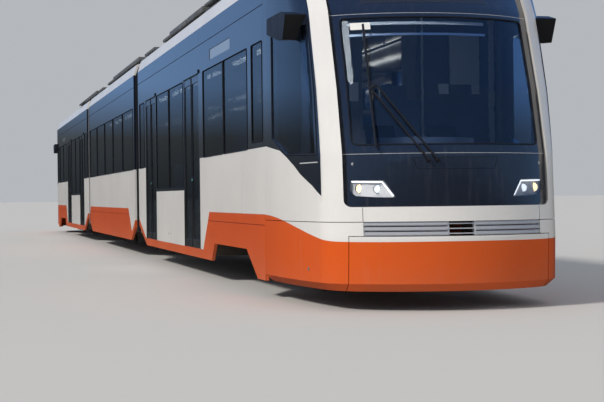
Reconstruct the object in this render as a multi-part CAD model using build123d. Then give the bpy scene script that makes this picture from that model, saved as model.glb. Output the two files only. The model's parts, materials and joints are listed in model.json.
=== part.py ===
from build123d import *
import math
import os

# A three-car articulated tram for metre-gauge track, in millimetres.
# x runs forward, y to the tram's left and z up from the lowest point of the wheel flanges.

# Driving sizes of the whole tram
tram_length = 37070
body_width = 2550
end_car_length = 13250
gangway_gap = 650

# Running gear
tread_radius = 360
flange_depth = 28
tread_width = 95
flange_width = 30
back_to_back = 925
axle_radius = 75
wheel_seat_radius = 95
collar_radius = 108
press_gap = 0.1
journal_radius = 55
journal_end = 870
wheelbase = 1800
end_bogie_from_nose = 4250
middle_bogie_from_centre = 2900

# Heights of the body above the flange tips
cab_skirt_bottom = 176
skirt_bottom = 250
sill_top = 364
bogie_arch_top = 465
skirt_top = 845
high_floor_top = 880
hatch_top = 1125
belt = 1528
window_top = 2610
fascia_seam = 2969
cant_bottom = 3182
cant_top = 3368
roof_edge = 3405

# Thicknesses
wall = 70
skirt_wall = 40
glass = 12
glass_recess = 6
door_wall = 45
floor_slab = 80
roof_wall = 60
soft_gap = 0.3

# Places along an end car, measured back from the nose
cab_joint = 2400
door_1 = (6550, 7950)
door_2 = (10900, 12250)
panel_split = 3500
cover_top_end = 5850
cover_sill_end = 6350
arch_low_front = 2800
arch_top_front = 3400
arch_top_rear = 5486
arch_low_rear = 5700
end_chamfer_length = 1050
end_chamfer_height = 308
sill_band = 114

# The cab: one plan outline of three arcs each side, moved back as it rises
nose_radius = 1486
corner_radius = 563
flank_radius = 10010
mask_edge = 967
hoop_edge = 1112
mask_recess = 45
mask_wall = 50
windscreen_half_width = 868
windscreen_bottom = 1478
windscreen_top = 2635
mask_bottom = 923
mask_top = 3050
mask_corner = 60
flap_half_width = 935
flap_top = 662
grille_half_width = 825
grille_bottom = 668
grille_top = 789
grille_middle = (-126, 132)
grille_inset = 14
grille_post = 14
slat_count = 3
slat_gap = 9
slat_nose = 17
slat_inset = 6
thin_bar = 9
panel_seam = 6
seam_depth = 25
cab_seam = 787
cover_seam = 735

half_width = body_width / 2
axle_height = tread_radius + flange_depth
flange_radius = tread_radius + flange_depth
nose_x = tram_length / 2
middle_length = tram_length - 2 * end_car_length - 2 * gangway_gap
middle_end = middle_length / 2
pivot_x = middle_end + gangway_gap / 2
car_end = middle_end + gangway_gap
joint_x = nose_x - cab_joint
end_bogie_x = nose_x - end_bogie_from_nose
inner_half_width = half_width - wall


def back(distance):
    """x of a place that is measured back from the nose."""
    return nose_x - distance


def block(x, y, z):
    """A box from its low and high x, y and z."""
    size = Box(x[1] - x[0], y[1] - y[0], z[1] - z[0])
    return Pos((x[0] + x[1]) / 2, (y[0] + y[1]) / 2, (z[0] + z[1]) / 2) * size


def prism_y(outline, y_low, y_high):
    """An outline of (x, z) points carried across the tram."""
    face = Face(Wire.make_polygon([(x, y_low, z) for x, z in outline]))
    return extrude(face, amount=y_high - y_low, dir=(0, 1, 0))


def prism_x(outline, x_low, x_high):
    """An outline of (y, z) points carried along the tram."""
    face = Face(Wire.make_polygon([(x_low, y, z) for y, z in outline]))
    return extrude(face, amount=x_high - x_low, dir=(1, 0, 0))


def side_plate(outline, outer, thickness, side):
    """A plate in the side wall; side is 1 on the left and -1 on the right."""
    faces = sorted((side * outer, side * (outer - thickness)))
    return prism_y(outline, faces[0], faces[1])


def rectangle(x, z):
    return [(x[0], z[0]), (x[1], z[0]), (x[1], z[1]), (x[0], z[1])]


def rod(start, end, radius):
    """A round bar between two points."""
    direction = Vector(*end) - Vector(*start)
    place = Plane(origin=start, z_dir=direction)
    return place * Cylinder(radius, direction.length, align=(Align.CENTER, Align.CENTER, Align.MIN))


def upright(x, radius, z, y=0):
    """A round post between two heights."""
    return Pos(x, y, z[0]) * Cylinder(radius, z[1] - z[0], align=(Align.CENTER, Align.CENTER, Align.MIN))


def revolved(profile):
    """A profile of (y, radius) points turned about the y axis."""
    face = Face(Wire.make_polygon([(0, y, radius) for y, radius in profile]))
    return revolve(face, Axis.Y, 360)


def solids_of(shapes):
    found = []
    for shape in shapes:
        found += shape.solids()
    return found


def turned(shapes):
    """The same pieces at the other end of the tram."""
    return [shape.rotate(Axis.Z, 180) for shape in solids_of(shapes)]


def mirrored(shapes):
    """The same pieces on the other side of the tram."""
    return [mirror(shape, about=Plane.XZ) for shape in solids_of(shapes)]


# The cab's outer surface, set in by any depth

# columns: height, nose set back, width taken off each side
cab_levels = [
    (cab_skirt_bottom, 100, 80),
    (245, 25, 0),
    (630, 0, 0),
    (1398, 75, 0),
    (1988, 245, 0),
    (2728, 540, 0),
    (cant_bottom, 850, 0),
    (cant_top, 1180, 60),
    (roof_edge, 1450, 155),
]


def cab_outline(level, set_back, narrower, inset, overlap):
    """A closed plan outline of the cab at one height."""
    front_centre = back(set_back + nose_radius)
    flank_y = half_width - narrower - flank_radius
    span = math.hypot(joint_x - front_centre, flank_y)
    to_front = nose_radius - corner_radius
    to_flank = flank_radius - corner_radius
    along = (to_front**2 - to_flank**2 + span**2) / (2 * span)
    across = math.sqrt(to_front**2 - along**2)
    unit = ((joint_x - front_centre) / span, flank_y / span)
    corner_x = front_centre + along * unit[0] - across * unit[1]
    corner_y = along * unit[1] + across * unit[0]

    front_angle = math.atan2(corner_y, corner_x - front_centre)
    flank_angle = math.atan2(corner_y - flank_y, corner_x - joint_x)

    def on_front(angle):
        radius = nose_radius - inset
        return front_centre + radius * math.cos(angle), radius * math.sin(angle)

    def on_corner(angle):
        radius = corner_radius - inset
        return corner_x + radius * math.cos(angle), corner_y + radius * math.sin(angle)

    def on_flank(angle):
        radius = flank_radius - inset
        return joint_x + radius * math.cos(angle), flank_y + radius * math.sin(angle)

    def point(place, side):
        return (place[0], side * place[1], level)

    corner_middle = (front_angle + flank_angle) / 2
    flank_middle = (flank_angle + math.pi / 2) / 2
    rear = (joint_x - overlap, half_width - narrower - inset)
    edges = [ThreePointArc(point(on_front(front_angle), -1), point(on_front(0), 1), point(on_front(front_angle), 1))]
    for side in (1, -1):
        edges.append(
            ThreePointArc(
                point(on_front(front_angle), side),
                point(on_corner(corner_middle), side),
                point(on_corner(flank_angle), side),
            )
        )
        edges.append(
            ThreePointArc(
                point(on_corner(flank_angle), side),
                point(on_flank(flank_middle), side),
                point(on_flank(math.pi / 2), side),
            )
        )
        edges.append(Line(point(on_flank(math.pi / 2), side), point(rear, side)))
    edges.append(Line(point(rear, 1), point(rear, -1)))
    return Wire(Wire.combine(edges)[0].edges())


def cab_body(inset, bottom_drop=0, overlap=30):
    """The cab as a solid whose skin lies inset behind the outer one."""
    sections = []
    for level, set_back, narrower in cab_levels:
        height = level
        if level == cab_skirt_bottom:
            height = level - bottom_drop
        if level > cant_bottom:
            height = level - inset
        sections.append(cab_outline(height, set_back, narrower, inset, overlap))
    return Solid.make_loft(sections, ruled=True)


def cab_plan(set_back, inset, z):
    """The plan of the cab at one set back, carried up between two heights."""
    outline = cab_outline(z[0], set_back, 0, inset, 30)
    return extrude(Face(outline), amount=z[1] - z[0], dir=(0, 0, 1))


def cab_skin(outer_inset, inner_inset):
    """A skin of the cab between two depths, open behind and below."""
    ahead = block((joint_x, nose_x + 100), (-half_width - 100, half_width + 100), (0, roof_edge + 100))
    return (cab_body(outer_inset) & ahead) - cab_body(inner_inset, bottom_drop=20, overlap=60)


def rounded_prism_x(y_half, z, radius, x):
    """A rounded rectangle across the tram, carried along it."""
    sketch = Plane.YZ * RectangleRounded(2 * y_half, z[1] - z[0], radius)
    return Pos(x[0], 0, (z[0] + z[1]) / 2) * extrude(sketch, amount=x[1] - x[0])


front_zone = (back(1700), nose_x + 100)
mask_zone = rounded_prism_x(mask_edge, (mask_bottom, mask_top), mask_corner, front_zone)
windscreen_zone = rounded_prism_x(windscreen_half_width, (windscreen_bottom, windscreen_top), 40, front_zone)

# The dark corner of each cab side, below, behind and outside the hoop; columns: distance back, height
cab_dark_edge = [
    (cab_joint + 100, belt),
    (2282, belt),
    (1735, 1467),
    (1521, 1399),
    (1298, 1314),
    (1120, 1228),
    (828, 1120),
    (500, 960),
    (-100, 960),
    (-100, cant_bottom),
    (cab_joint + 100, cant_bottom),
]
cab_dark_outline = [(back(distance), height) for distance, height in cab_dark_edge]

# The cab's side window; columns: distance back, height
cab_window_edge = [
    (2010, window_top),
    (2010, 1600),
    (1750, 1512),
    (1500, 1425),
    (-100, 1405),
    (-100, window_top),
]
cab_window_outline = [(back(distance), height) for distance, height in cab_window_edge]
window_frame = 25
lip_set_back = 20

headlamp_outline = [(545, 1005), (640, 1155), (900, 1160), (905, 1060), (860, 1020), (700, 1008)]

# The two round lamps of each headlamp; columns: distance from the middle, height, radius
round_lamps = [(815, 1085, 42), (680, 1080, 38)]
lamp_wall = 5
lamp_set_back = 58


def nose_face(y, inset):
    """x of the nose's front arc below the windscreen, before it leans back."""
    return back(nose_radius) + math.sqrt((nose_radius - inset) ** 2 - y**2)


def cab_shell():
    shell = cab_skin(0, wall)
    dark = prism_y(cab_dark_outline, hoop_edge, half_width + 50)
    flap_zone = block(
        front_zone,
        (-flap_half_width - panel_seam, flap_half_width + panel_seam),
        (0, flap_top + panel_seam),
    )
    grille_zone = block(front_zone, (-grille_half_width, grille_half_width), (grille_bottom - 1, grille_top))
    seam_y = (-half_width - 50, half_width + 50)
    seam = block((joint_x - 10, nose_x + 100), seam_y, (cab_seam, cab_seam + panel_seam))
    shell = shell - mask_zone - dark - mirror(dark, about=Plane.XZ) - flap_zone - grille_zone - seam
    lip_x = nose_face(grille_half_width, 0) - lip_set_back
    for side in (1, -1):
        y = side * grille_half_width
        shell -= block(
            (lip_x - seam_depth, nose_x), (y - panel_seam / 2, y + panel_seam / 2), (cab_seam, mask_bottom - 5)
        )
    return shell


def cab_side_frames():
    """The dark frame round each cab side window."""
    zone = prism_y(cab_dark_outline, hoop_edge, half_width + 50)
    window = prism_y(cab_window_outline, hoop_edge + window_frame, half_width + 50)
    left = (cab_skin(0, wall) & zone) - window
    return [left] + mirrored([left])


def cab_side_glass():
    window = prism_y(cab_window_outline, hoop_edge + window_frame, half_width + 50)
    left = cab_skin(glass_recess, glass_recess + glass) & window
    return [left] + mirrored([left])


def mask():
    skin = (cab_skin(mask_recess, mask_recess + mask_wall) & mask_zone) - windscreen_zone
    for side in (1, -1):
        lamp_zone = prism_x([(side * y, z) for y, z in headlamp_outline], front_zone[0], front_zone[1])
        skin -= lamp_zone
    return skin


def windscreen():
    return cab_skin(mask_recess + glass_recess, mask_recess + glass_recess + glass) & windscreen_zone


def headlamps():
    """A lamp bowl behind each opening of the mask, with the barrels of two round lamps in it."""
    pieces = []
    bowl_skin = cab_skin(mask_recess + 40, mask_recess + mask_wall)
    for side in (1, -1):
        zone = prism_x([(side * y, z) for y, z in headlamp_outline], front_zone[0], front_zone[1])
        bowl = bowl_skin & zone
        for y, z, radius in round_lamps:
            face_x = nose_face(y + radius, mask_recess) - lamp_set_back
            barrel = Pos(face_x - 45, side * y, z) * Rot(0, 90, 0) * Cylinder(radius, 90)
            cavity = Pos(face_x, side * y, z) * Rot(0, 90, 0) * Cylinder(radius - lamp_wall, 40)
            bowl += barrel - cavity
        pieces.append(bowl)
    return pieces


def bumper_flap():
    zone = block(front_zone, (-flap_half_width, flap_half_width), (0, flap_top))
    return cab_skin(0, wall) & zone


def grille():
    """Three bright slats each side of a darker middle with thin bars, on upright posts."""
    slat_height = (grille_top - grille_bottom - (slat_count - 1) * slat_gap) / slat_count
    y_left, y_right = grille_middle
    bars = []
    noses = []
    for index in range(slat_count):
        low = grille_bottom + index * (slat_height + slat_gap)
        middle = low + slat_height / 2
        for y in ((-grille_half_width, y_left), (y_right, grille_half_width)):
            bars.append(block(front_zone, y, (low, low + slat_height)))
            noses.append(block(front_zone, y, (middle - slat_nose / 2, middle + slat_nose / 2)))
        bars.append(block(front_zone, (y_left, y_right), (middle - thin_bar / 2, middle + thin_bar / 2)))
    for y in (-grille_half_width, y_left, y_right - grille_post, grille_half_width - grille_post):
        bars.append(block(front_zone, (y, y + grille_post), (grille_bottom, grille_top)))
    bar_zone = bars[0].fuse(*bars[1:])
    nose_zone = noses[0].fuse(*noses[1:])
    return (cab_skin(grille_inset, wall) & bar_zone) + (cab_skin(slat_inset, wall - 20) & nose_zone)


# Side walls of an end car; columns: first and last distance back, low and high edge
end_car_windows = [
    (2460, 3030, 1590, window_top),
    (3280, 4740, belt, window_top),
    (4780, 6250, belt, window_top),
    (8000, 9400, hatch_top, window_top),
    (9450, 10850, hatch_top, window_top),
    (12400, 13050, belt, window_top),
]
middle_car_windows = [
    (-4450, -2700, belt, window_top),
    (-2640, -900, belt, window_top),
    (-840, 840, belt, window_top),
    (900, 2640, belt, window_top),
    (2700, 4450, belt, window_top),
]


def along_end_car(first, last):
    return back(last), back(first)


header_reach = 16
header_height = 46
display_place = (4300, 5710)
display_height = (2705, 2835)


def level_seam(x_low, x_high, z):
    """A groove along the left wall."""
    return block(
        (x_low, x_high), (half_width - seam_depth, half_width + 1), (z - panel_seam / 2, z + panel_seam / 2)
    )


def upright_seam(x, z_low, z_high):
    """A groove up the left wall."""
    return block(
        (x - panel_seam / 2, x + panel_seam / 2), (half_width - seam_depth, half_width + 1), (z_low, z_high)
    )


def joint_seam():
    """The groove where the side wall meets the cab."""
    return upright_seam(joint_x - panel_seam / 2, 0, cant_bottom)


def end_car_frames():
    """The dark band of both sides, with the windows and doorways cut out."""
    outline = [
        (joint_x, belt),
        (joint_x, cant_bottom),
        (car_end, cant_bottom),
        (car_end, belt),
        (back(door_2[1]), belt),
        (back(door_2[1]), sill_top),
        (back(door_2[0]), sill_top),
        (back(door_2[0]), hatch_top),
        (back(door_1[1]), hatch_top),
        (back(door_1[1]), sill_top),
        (back(door_1[0]), sill_top),
        (back(door_1[0]), belt),
    ]
    openings = []
    for first, last, low, high in end_car_windows:
        margin = 40 if low == hatch_top else 0
        openings.append(block(along_end_car(first, last), (0, half_width + 50), (low + margin, high)))
    for first, last in (door_1, door_2):
        openings.append(block(along_end_car(first + 50, last - 50), (0, half_width + 50), (0, window_top)))
    left = side_plate(outline, half_width, wall, 1)
    for opening in openings:
        left -= opening
    for first, last in (door_1, door_2):
        left += block(
            along_end_car(first + 20, last - 20),
            (half_width - 10, half_width + header_reach),
            (window_top + 8, window_top + 8 + header_height),
        )
    display = block(
        along_end_car(display_place[0], display_place[1]), (half_width - 6, half_width + 10), display_height
    )
    left -= level_seam(car_end, joint_x, fascia_seam)
    for distance in (door_1[0], door_2[0]):
        left -= upright_seam(back(distance), fascia_seam, cant_bottom)
    return [left - display - joint_seam()] + mirrored([left - display - joint_seam()])


def end_car_panels():
    """The white panels: below the belt ahead of the first door, the low hatch and the end panel."""
    ahead = [
        (joint_x, skirt_top),
        (joint_x, belt),
        (back(door_1[0]), belt),
        (back(door_1[0]), sill_top),
        (back(cover_sill_end), sill_top),
        (back(cover_top_end), skirt_top),
    ]
    hatch = rectangle(along_end_car(door_1[1], door_2[0]), (sill_top, hatch_top))
    end_low = skirt_bottom + end_chamfer_height + sill_band
    end_panel = [
        (back(door_2[1]), sill_top),
        (back(door_2[1]), belt),
        (car_end, belt),
        (car_end, end_low),
        (back(door_2[1]) - 60, sill_top),
    ]
    left = [side_plate(outline, half_width, wall, 1) for outline in (ahead, hatch, end_panel)]
    left[0] -= joint_seam() + upright_seam(back(panel_split), skirt_top, belt)
    left[1] -= upright_seam((back(door_1[1]) + back(door_2[0])) / 2, sill_top, hatch_top)
    return left + mirrored(left)


def end_car_skirts():
    """The orange bogie cover and sill band, one piece a side."""
    outline = [
        (joint_x, cab_skirt_bottom),
        (joint_x, skirt_top),
        (back(cover_top_end), skirt_top),
        (back(cover_sill_end), sill_top),
        (back(door_2[1]) - 60, sill_top),
        (car_end, skirt_bottom + end_chamfer_height + sill_band),
        (car_end, skirt_bottom + end_chamfer_height),
        (car_end + end_chamfer_length, skirt_bottom),
        (back(arch_low_rear), skirt_bottom),
        (back(arch_top_rear), bogie_arch_top),
        (back(arch_top_front), bogie_arch_top),
        (back(arch_low_front), cab_skirt_bottom),
    ]
    left = side_plate(outline, half_width, skirt_wall, 1)
    left -= joint_seam() + level_seam(back(cover_sill_end), joint_x, cover_seam)
    return [left] + mirrored([left])


def end_car_glass():
    left = []
    for first, last, low, high in end_car_windows:
        margin = 40 if low == hatch_top else 0
        outline = rectangle(along_end_car(first, last), (low + margin, high))
        left.append(side_plate(outline, half_width - glass_recess, glass, 1))
    for leaf in door_leaves():
        outline = rectangle((leaf[0] + 60, leaf[1] - 60), (sill_top + 110, window_top - 90))
        left.append(side_plate(outline, half_width - glass_recess - 8, glass, 1))
    return left + mirrored(left)


def door_leaves():
    """First and last x of each door leaf."""
    leaves = []
    for first, last in (door_1, door_2):
        middle = (first + last) / 2
        leaves.append((back(middle - 1), back(first + 50)))
        leaves.append((back(last - 50), back(middle + 1)))
    return leaves


def end_car_doors():
    left = []
    for low, high in door_leaves():
        outline = rectangle((low, high), (sill_top + 4, window_top))
        leaf = side_plate(outline, half_width - glass_recess, door_wall, 1)
        pane = rectangle((low + 60, high - 60), (sill_top + 110, window_top - 90))
        left.append(leaf - side_plate(pane, half_width + 10, door_wall + 40, 1))
    return left + mirrored(left)


def car_roof(x_low, x_high):
    """A roof shell with both cant rails."""
    outer = [
        (half_width, cant_bottom),
        (half_width - 60, cant_top),
        (half_width - 155, roof_edge),
        (-half_width + 155, roof_edge),
        (-half_width + 60, cant_top),
        (-half_width, cant_bottom),
    ]
    inner = [
        (half_width - wall, cant_bottom),
        (half_width - 175, cant_top - roof_wall),
        (-half_width + 175, cant_top - roof_wall),
        (-half_width + wall, cant_bottom),
    ]
    return prism_x(outer, x_low, x_high) - prism_x(inner, x_low - 10, x_high + 10)


# A pad on the roof behind the cab, for an aerial; columns as first and last distance back
aerial_pad = (2700, 3300)
aerial_pad_half = 300
aerial_pad_height = 20


def end_car_roof():
    pad = block(
        along_end_car(aerial_pad[0], aerial_pad[1]),
        (-aerial_pad_half, aerial_pad_half),
        (roof_edge - 10, roof_edge + aerial_pad_height),
    )
    return [car_roof(car_end, joint_x) + pad]


# How far the nose lies back at the floor's top and at the flap's top
floor_set_back = 25
flap_top_set_back = 3.2
step_run = 250
step_depth = 200
step_rise = (high_floor_top - sill_top) / 3
bolster_half = 300
bolster_depth = 40
front_steps = back(6450)
rear_steps = back(door_2[1] + 80)


def stair(x, outward):
    """Two steps from the low floor at x up to the high floor; outward is the way that they climb."""
    first = x + outward * step_run
    second = x + 2 * outward * step_run
    low_tread = sill_top + step_rise
    high_tread = sill_top + 2 * step_rise
    edge = [
        (x, sill_top - floor_slab),
        (x, low_tread),
        (first, low_tread),
        (first, high_tread),
        (second, high_tread),
        (second, high_floor_top),
        (second + outward * step_depth, high_floor_top),
        (second + outward * step_depth, high_floor_top - floor_slab),
        (x + outward * step_depth, sill_top - floor_slab),
    ]
    return prism_y(edge, -inner_half_width, inner_half_width)


def bolster_and_pin(bogie_x):
    """The cross beam below the floor, and the centre pin that turns in the bogie's hub."""
    low = high_floor_top - floor_slab - bolster_depth
    beam = block((bogie_x - bolster_half, bogie_x + bolster_half), (-900, 900), (low, high_floor_top - floor_slab))
    return [beam, upright(bogie_x, pivot_radius, (pivot_bottom, low))]


def end_car_underframe():
    """Stepped floor: high over the bogie and the cab, low between the doors, high at the gangway."""
    slab_z = (high_floor_top - floor_slab, high_floor_top)
    stair_length = 2 * step_run + step_depth
    front_floor = block((front_steps + stair_length, nose_x), (-inner_half_width, inner_half_width), slab_z)
    cab_floor = cab_plan(floor_set_back, wall + soft_gap, slab_z)
    cab_floor += block((front_steps, joint_x), (-half_width, half_width), slab_z)
    front_floor = (front_floor & cab_floor) - block((back(500), nose_x), (-half_width, half_width), slab_z)
    low_floor = block(
        (rear_steps, front_steps), (-inner_half_width, inner_half_width), (sill_top - floor_slab, sill_top)
    )
    rear_floor = block(
        (car_end + 12, rear_steps - stair_length), (-inner_half_width, inner_half_width), slab_z
    )
    rear_stair = stair(rear_steps, -1)
    arm = block((pivot_x, car_end + 400), (-220, 220), (coupling_low, coupling_low + coupling_height))
    arm += block((car_end + 60, car_end + 400), (-220, 220), (coupling_low, slab_z[0]))
    arm += upright(pivot_x, coupling_radius, (coupling_low, coupling_low + coupling_height))
    arm -= upright(pivot_x, coupling_pin + pin_clearance, (coupling_low - 10, coupling_low + coupling_height + 10))
    pieces = [
        front_floor - cab_door_pin(cab_door_low - 20, pin_clearance),
        stair(front_steps, 1),
        low_floor,
        rear_stair,
        rear_floor,
        arm - rear_stair,
    ]
    pieces += bolster_and_pin(end_bogie_x)
    for side in (1, -1):
        bracket_y = sorted((side * 300, side * 420))
        foot_z = (flap_top - 60, flap_top)
        stem_z = (flap_top - 60, slab_z[0])
        foot = block((back(900), nose_x), bracket_y, foot_z) & cab_plan(flap_top_set_back, wall + soft_gap, foot_z)
        stem = block((back(900), nose_x), bracket_y, stem_z) & cab_plan(floor_set_back, wall + soft_gap, stem_z)
        pieces.append(foot + stem)
    return pieces


# The door between cab and saloon turns about a pin in its left edge
cab_door_half = 355
cab_door_low = 885
cab_door_high = 2895
cab_door_wall = 40
cab_door_pin_radius = 10
bulkhead_x = (joint_x - 60, joint_x - 20)
cab_door_axis = (joint_x - 40, cab_door_half - cab_door_wall / 2)
pin_clearance = 0.5


def cab_door_pin(low, clearance=0):
    return Pos(cab_door_axis[0], cab_door_axis[1], low) * Cylinder(
        cab_door_pin_radius + clearance, cab_door_high + 20 - low, align=(Align.CENTER, Align.CENTER, Align.MIN)
    )


def cab_door():
    leaf = block(bulkhead_x, (-cab_door_half, cab_door_axis[1]), (cab_door_low, cab_door_high))
    edge = Pos(cab_door_axis[0], cab_door_axis[1], cab_door_low) * Cylinder(
        cab_door_wall / 2, cab_door_high - cab_door_low, align=(Align.CENTER, Align.CENTER, Align.MIN)
    )
    window = block((joint_x - 100, joint_x), (-230, 200), (1700, 2700))
    return [(leaf + edge - window) + cab_door_pin(cab_door_low - 12)]


# Pivots: each bogie's centre pin, and the coupling pin below each gangway
pivot_radius = 90
pivot_bottom = 600
coupling_radius = 130
coupling_pin = 60
coupling_low = 560
coupling_height = 90
fork_wall = 50
gangway_plate = 8
gangway_plate_radius = 460


def middle_car_underframe():
    """A level floor, with a bolster, a coupling fork, its pin and a gangway plate at each end."""
    slab_low = high_floor_top - floor_slab
    pieces = [
        block((-middle_end + 12, middle_end - 12), (-inner_half_width, inner_half_width), (slab_low, high_floor_top))
    ]
    fork_low = coupling_low - 5 - fork_wall
    fork_high = coupling_low + coupling_height + 5
    plate_z = (high_floor_top, high_floor_top + 5 + gangway_plate)
    plate_y = (-gangway_plate_radius, gangway_plate_radius)
    for end in (1, -1):
        pieces += bolster_and_pin(end * middle_bogie_from_centre)
        root = end * (middle_end - 300)
        fork = block(sorted((root, end * (middle_end - 40))), (-160, 160), (fork_low, slab_low))
        for low in (fork_low, fork_high):
            fork += block(sorted((root, end * pivot_x)), (-160, 160), (low, low + fork_wall))
            fork += upright(end * pivot_x, 160, (low, low + fork_wall))
        fork += upright(end * pivot_x, coupling_pin, (fork_low, fork_high + fork_wall))
        pieces.append(fork)
        seat_x = end * (middle_end - 212)
        lip_x = seat_x + end * 52
        plate = block(sorted((seat_x, lip_x)), plate_y, plate_z)
        plate += block(sorted((seat_x, end * pivot_x)), plate_y, (plate_z[1] - gangway_plate, plate_z[1]))
        plate += upright(end * pivot_x, gangway_plate_radius, (plate_z[1] - gangway_plate, plate_z[1]))
        pieces.append(plate)
    return pieces


def middle_car_sides():
    outline = rectangle((-middle_end, middle_end), (belt, cant_bottom))
    left = side_plate(outline, half_width, wall, 1)
    for low, high, bottom, top in middle_car_windows:
        left -= block((low, high), (0, half_width + 50), (bottom, top))
    left -= level_seam(-middle_end, middle_end, fascia_seam)
    return [left] + mirrored([left])


def middle_car_glass():
    left = []
    for low, high, bottom, top in middle_car_windows:
        left.append(side_plate(rectangle((low, high), (bottom, top)), half_width - glass_recess, glass, 1))
    return left + mirrored(left)


# The orange cover of the middle car, right side; the left is the same turned round
middle_cover_edge = [
    (-middle_end, 510),
    (-middle_end + 620, 278),
    (middle_end - 620, 278),
    (middle_end, 510),
    (middle_end, 640),
    (middle_end - 500, 430),
    (middle_end - 1050, skirt_top),
    (-middle_end + 160, skirt_top),
    (-middle_end, 640),
]
middle_panel_edge = [
    (-middle_end, 640),
    (-middle_end + 160, skirt_top),
    (middle_end - 1050, skirt_top),
    (middle_end - 500, 430),
    (middle_end, 640),
    (middle_end, belt),
    (-middle_end, belt),
]


def middle_car_panels():
    right = side_plate(middle_panel_edge, half_width, wall, -1)
    return [right] + turned([right])


def middle_car_skirts():
    right = side_plate(middle_cover_edge, half_width, skirt_wall, -1)
    right -= mirror(level_seam(-middle_end, middle_end, cover_seam), about=Plane.XZ)
    return [right] + turned([right])


# Seats; columns: x of the seat's back, way it faces
end_car_seats = [
    (back(3200), -1),
    (back(4900), 1),
    (back(5000), -1),
    (back(9350), 1),
    (back(9450), -1),
]
middle_car_seats = [
    (-4200, 1),
    (-2500, -1),
    (-2400, 1),
    (-700, -1),
    (700, 1),
    (2400, -1),
    (2500, 1),
    (4200, -1),
]


# One seat seen from the side; columns: distance from its back, height above the floor
seat_edge = [
    (0, 330),
    (22, 700),
    (0, 1110),
    (28, 1160),
    (66, 1120),
    (104, 720),
    (122, 472),
    (460, 458),
    (500, 430),
    (478, 378),
    (320, 330),
]
seat_widths = [(385, 785), (805, inner_half_width - soft_gap)]
plinth_depth = (60, 300)
rail_radius = 17
rail_y = 600
rail_z = 2780
hanger_radius = 12
hanger_pitch = 1650
ceiling = cant_top - roof_wall


def seat(x, facing, floor, side):
    """A pair of seats on one plinth, against a side wall."""
    places = [(x + facing * dx, floor + dz) for dx, dz in seat_edge]
    plinth_x = sorted((x + facing * plinth_depth[0], x + facing * plinth_depth[1]))
    plinth_y = sorted((side * 450, side * (inner_half_width - soft_gap)))
    pair = block(plinth_x, plinth_y, (floor, floor + 330))
    for near, far in seat_widths:
        faces = sorted((side * near, side * far))
        pair += prism_y(places, faces[0], faces[1])
    return pair


def ceiling_rail(x_low, x_high, side):
    """A handrail along the aisle, hung from the ceiling."""
    rail = rod((x_low, side * rail_y, rail_z), (x_high, side * rail_y, rail_z), rail_radius)
    count = round((x_high - x_low - 200) / hanger_pitch)
    for index in range(count + 1):
        x = x_low + 100 + index * (x_high - x_low - 200) / count
        rail += upright(x, hanger_radius, (rail_z, ceiling), side * rail_y)
    return rail


def bulkhead():
    """The wall behind the cab: a panel each side of its doorway, and a header."""
    edge = cab_door_half + 5
    top = cab_door_high + 5
    left = block(bulkhead_x, (edge, inner_half_width), (high_floor_top, cant_bottom))
    right = block(bulkhead_x, (-inner_half_width, -edge), (high_floor_top, cant_bottom))
    header = block(bulkhead_x, (-edge, edge), (top, cant_bottom))
    return [left, right, header - cab_door_pin(cab_door_low, pin_clearance)]


def desk():
    """The driver's desk: a top that follows the nose, two pedestals and a curved instrument hood."""
    top_z = (1390, 1430)
    top = cab_plan(75, 430, top_z) & block((back(1330), nose_x), (-1000, 1000), top_z)
    knee = Pos(back(1330), 0, top_z[0]) * Cylinder(
        300, top_z[1] - top_z[0], align=(Align.CENTER, Align.CENTER, Align.MIN)
    )
    piece = top - knee
    for side in (1, -1):
        faces = sorted((side * 420, side * 820))
        piece += block((back(1250), back(760)), faces, (high_floor_top, top_z[0]))
    piece += block((back(800), back(760)), (-420, 420), (high_floor_top, top_z[0]))
    hood_z = (top_z[1], 1560)
    hood = upright(back(1500), 640, hood_z) - upright(back(1500), 540, hood_z)
    return piece + (hood & block((back(1130), nose_x), (-500, 500), hood_z))


def driver_seat():
    """A seat on a column, with a headrest."""
    column = upright(back(1800), 80, (high_floor_top, 1345))
    cushion = prism_y([(back(2000), 1310), (back(2010), 1400), (back(1560), 1420), (back(1540), 1330)], -250, 250)
    rest = prism_y([(back(2000), 1330), (back(2110), 1960), (back(2040), 1980), (back(1920), 1400)], -235, 235)
    head = prism_y([(back(2104), 1930), (back(2134), 2110), (back(2074), 2130), (back(2036), 1960)], -130, 130)
    return column + cushion + rest + head


def end_car_interior():
    pieces = []
    for x, facing in end_car_seats:
        floor = high_floor_top if x > back(door_1[0]) else sill_top
        for side in (1, -1):
            pieces.append(seat(x, facing, floor, side))
    for distance in (7250, 11575):
        for y in (-450, 450):
            pieces.append(upright(back(distance), 18, (sill_top, ceiling), y))
    for side in (1, -1):
        pieces.append(ceiling_rail(car_end + 250, joint_x - 300, side))
    return pieces + bulkhead() + [desk(), driver_seat()]


def middle_car_interior():
    pieces = []
    for x, facing in middle_car_seats:
        for side in (1, -1):
            pieces.append(seat(x, facing, high_floor_top, side))
    for side in (1, -1):
        pieces.append(ceiling_rail(-middle_end + 250, middle_end - 250, side))
    return pieces


# Gangway: a frame on each car's end, with the bellows between two of them
end_frame_depth = 50
end_frame_inset = 35
end_frame_width = 130
gangway_low = 430


def gangway_ring(x_low, x_high, inset, width):
    """A closed ring of the body's section, set in by inset and as wide as width."""
    half = half_width - inset
    outer = [(half, gangway_low), (half, cant_bottom), (half - 60, cant_top - inset)]
    outer += [(-y, z) for y, z in reversed(outer)]
    inner = [
        (half - width, gangway_low + 70),
        (half - width, cant_bottom - 40),
        (half - width - 60, cant_top - inset - 70),
    ]
    inner += [(-y, z) for y, z in reversed(inner)]
    return prism_x(outer, x_low, x_high) - prism_x(inner, x_low - 10, x_high + 10)


def bellows():
    low = middle_end + end_frame_depth + soft_gap
    high = car_end - end_frame_depth - soft_gap
    return gangway_ring(low, high, end_frame_inset + 30, end_frame_width - 60)


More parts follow.
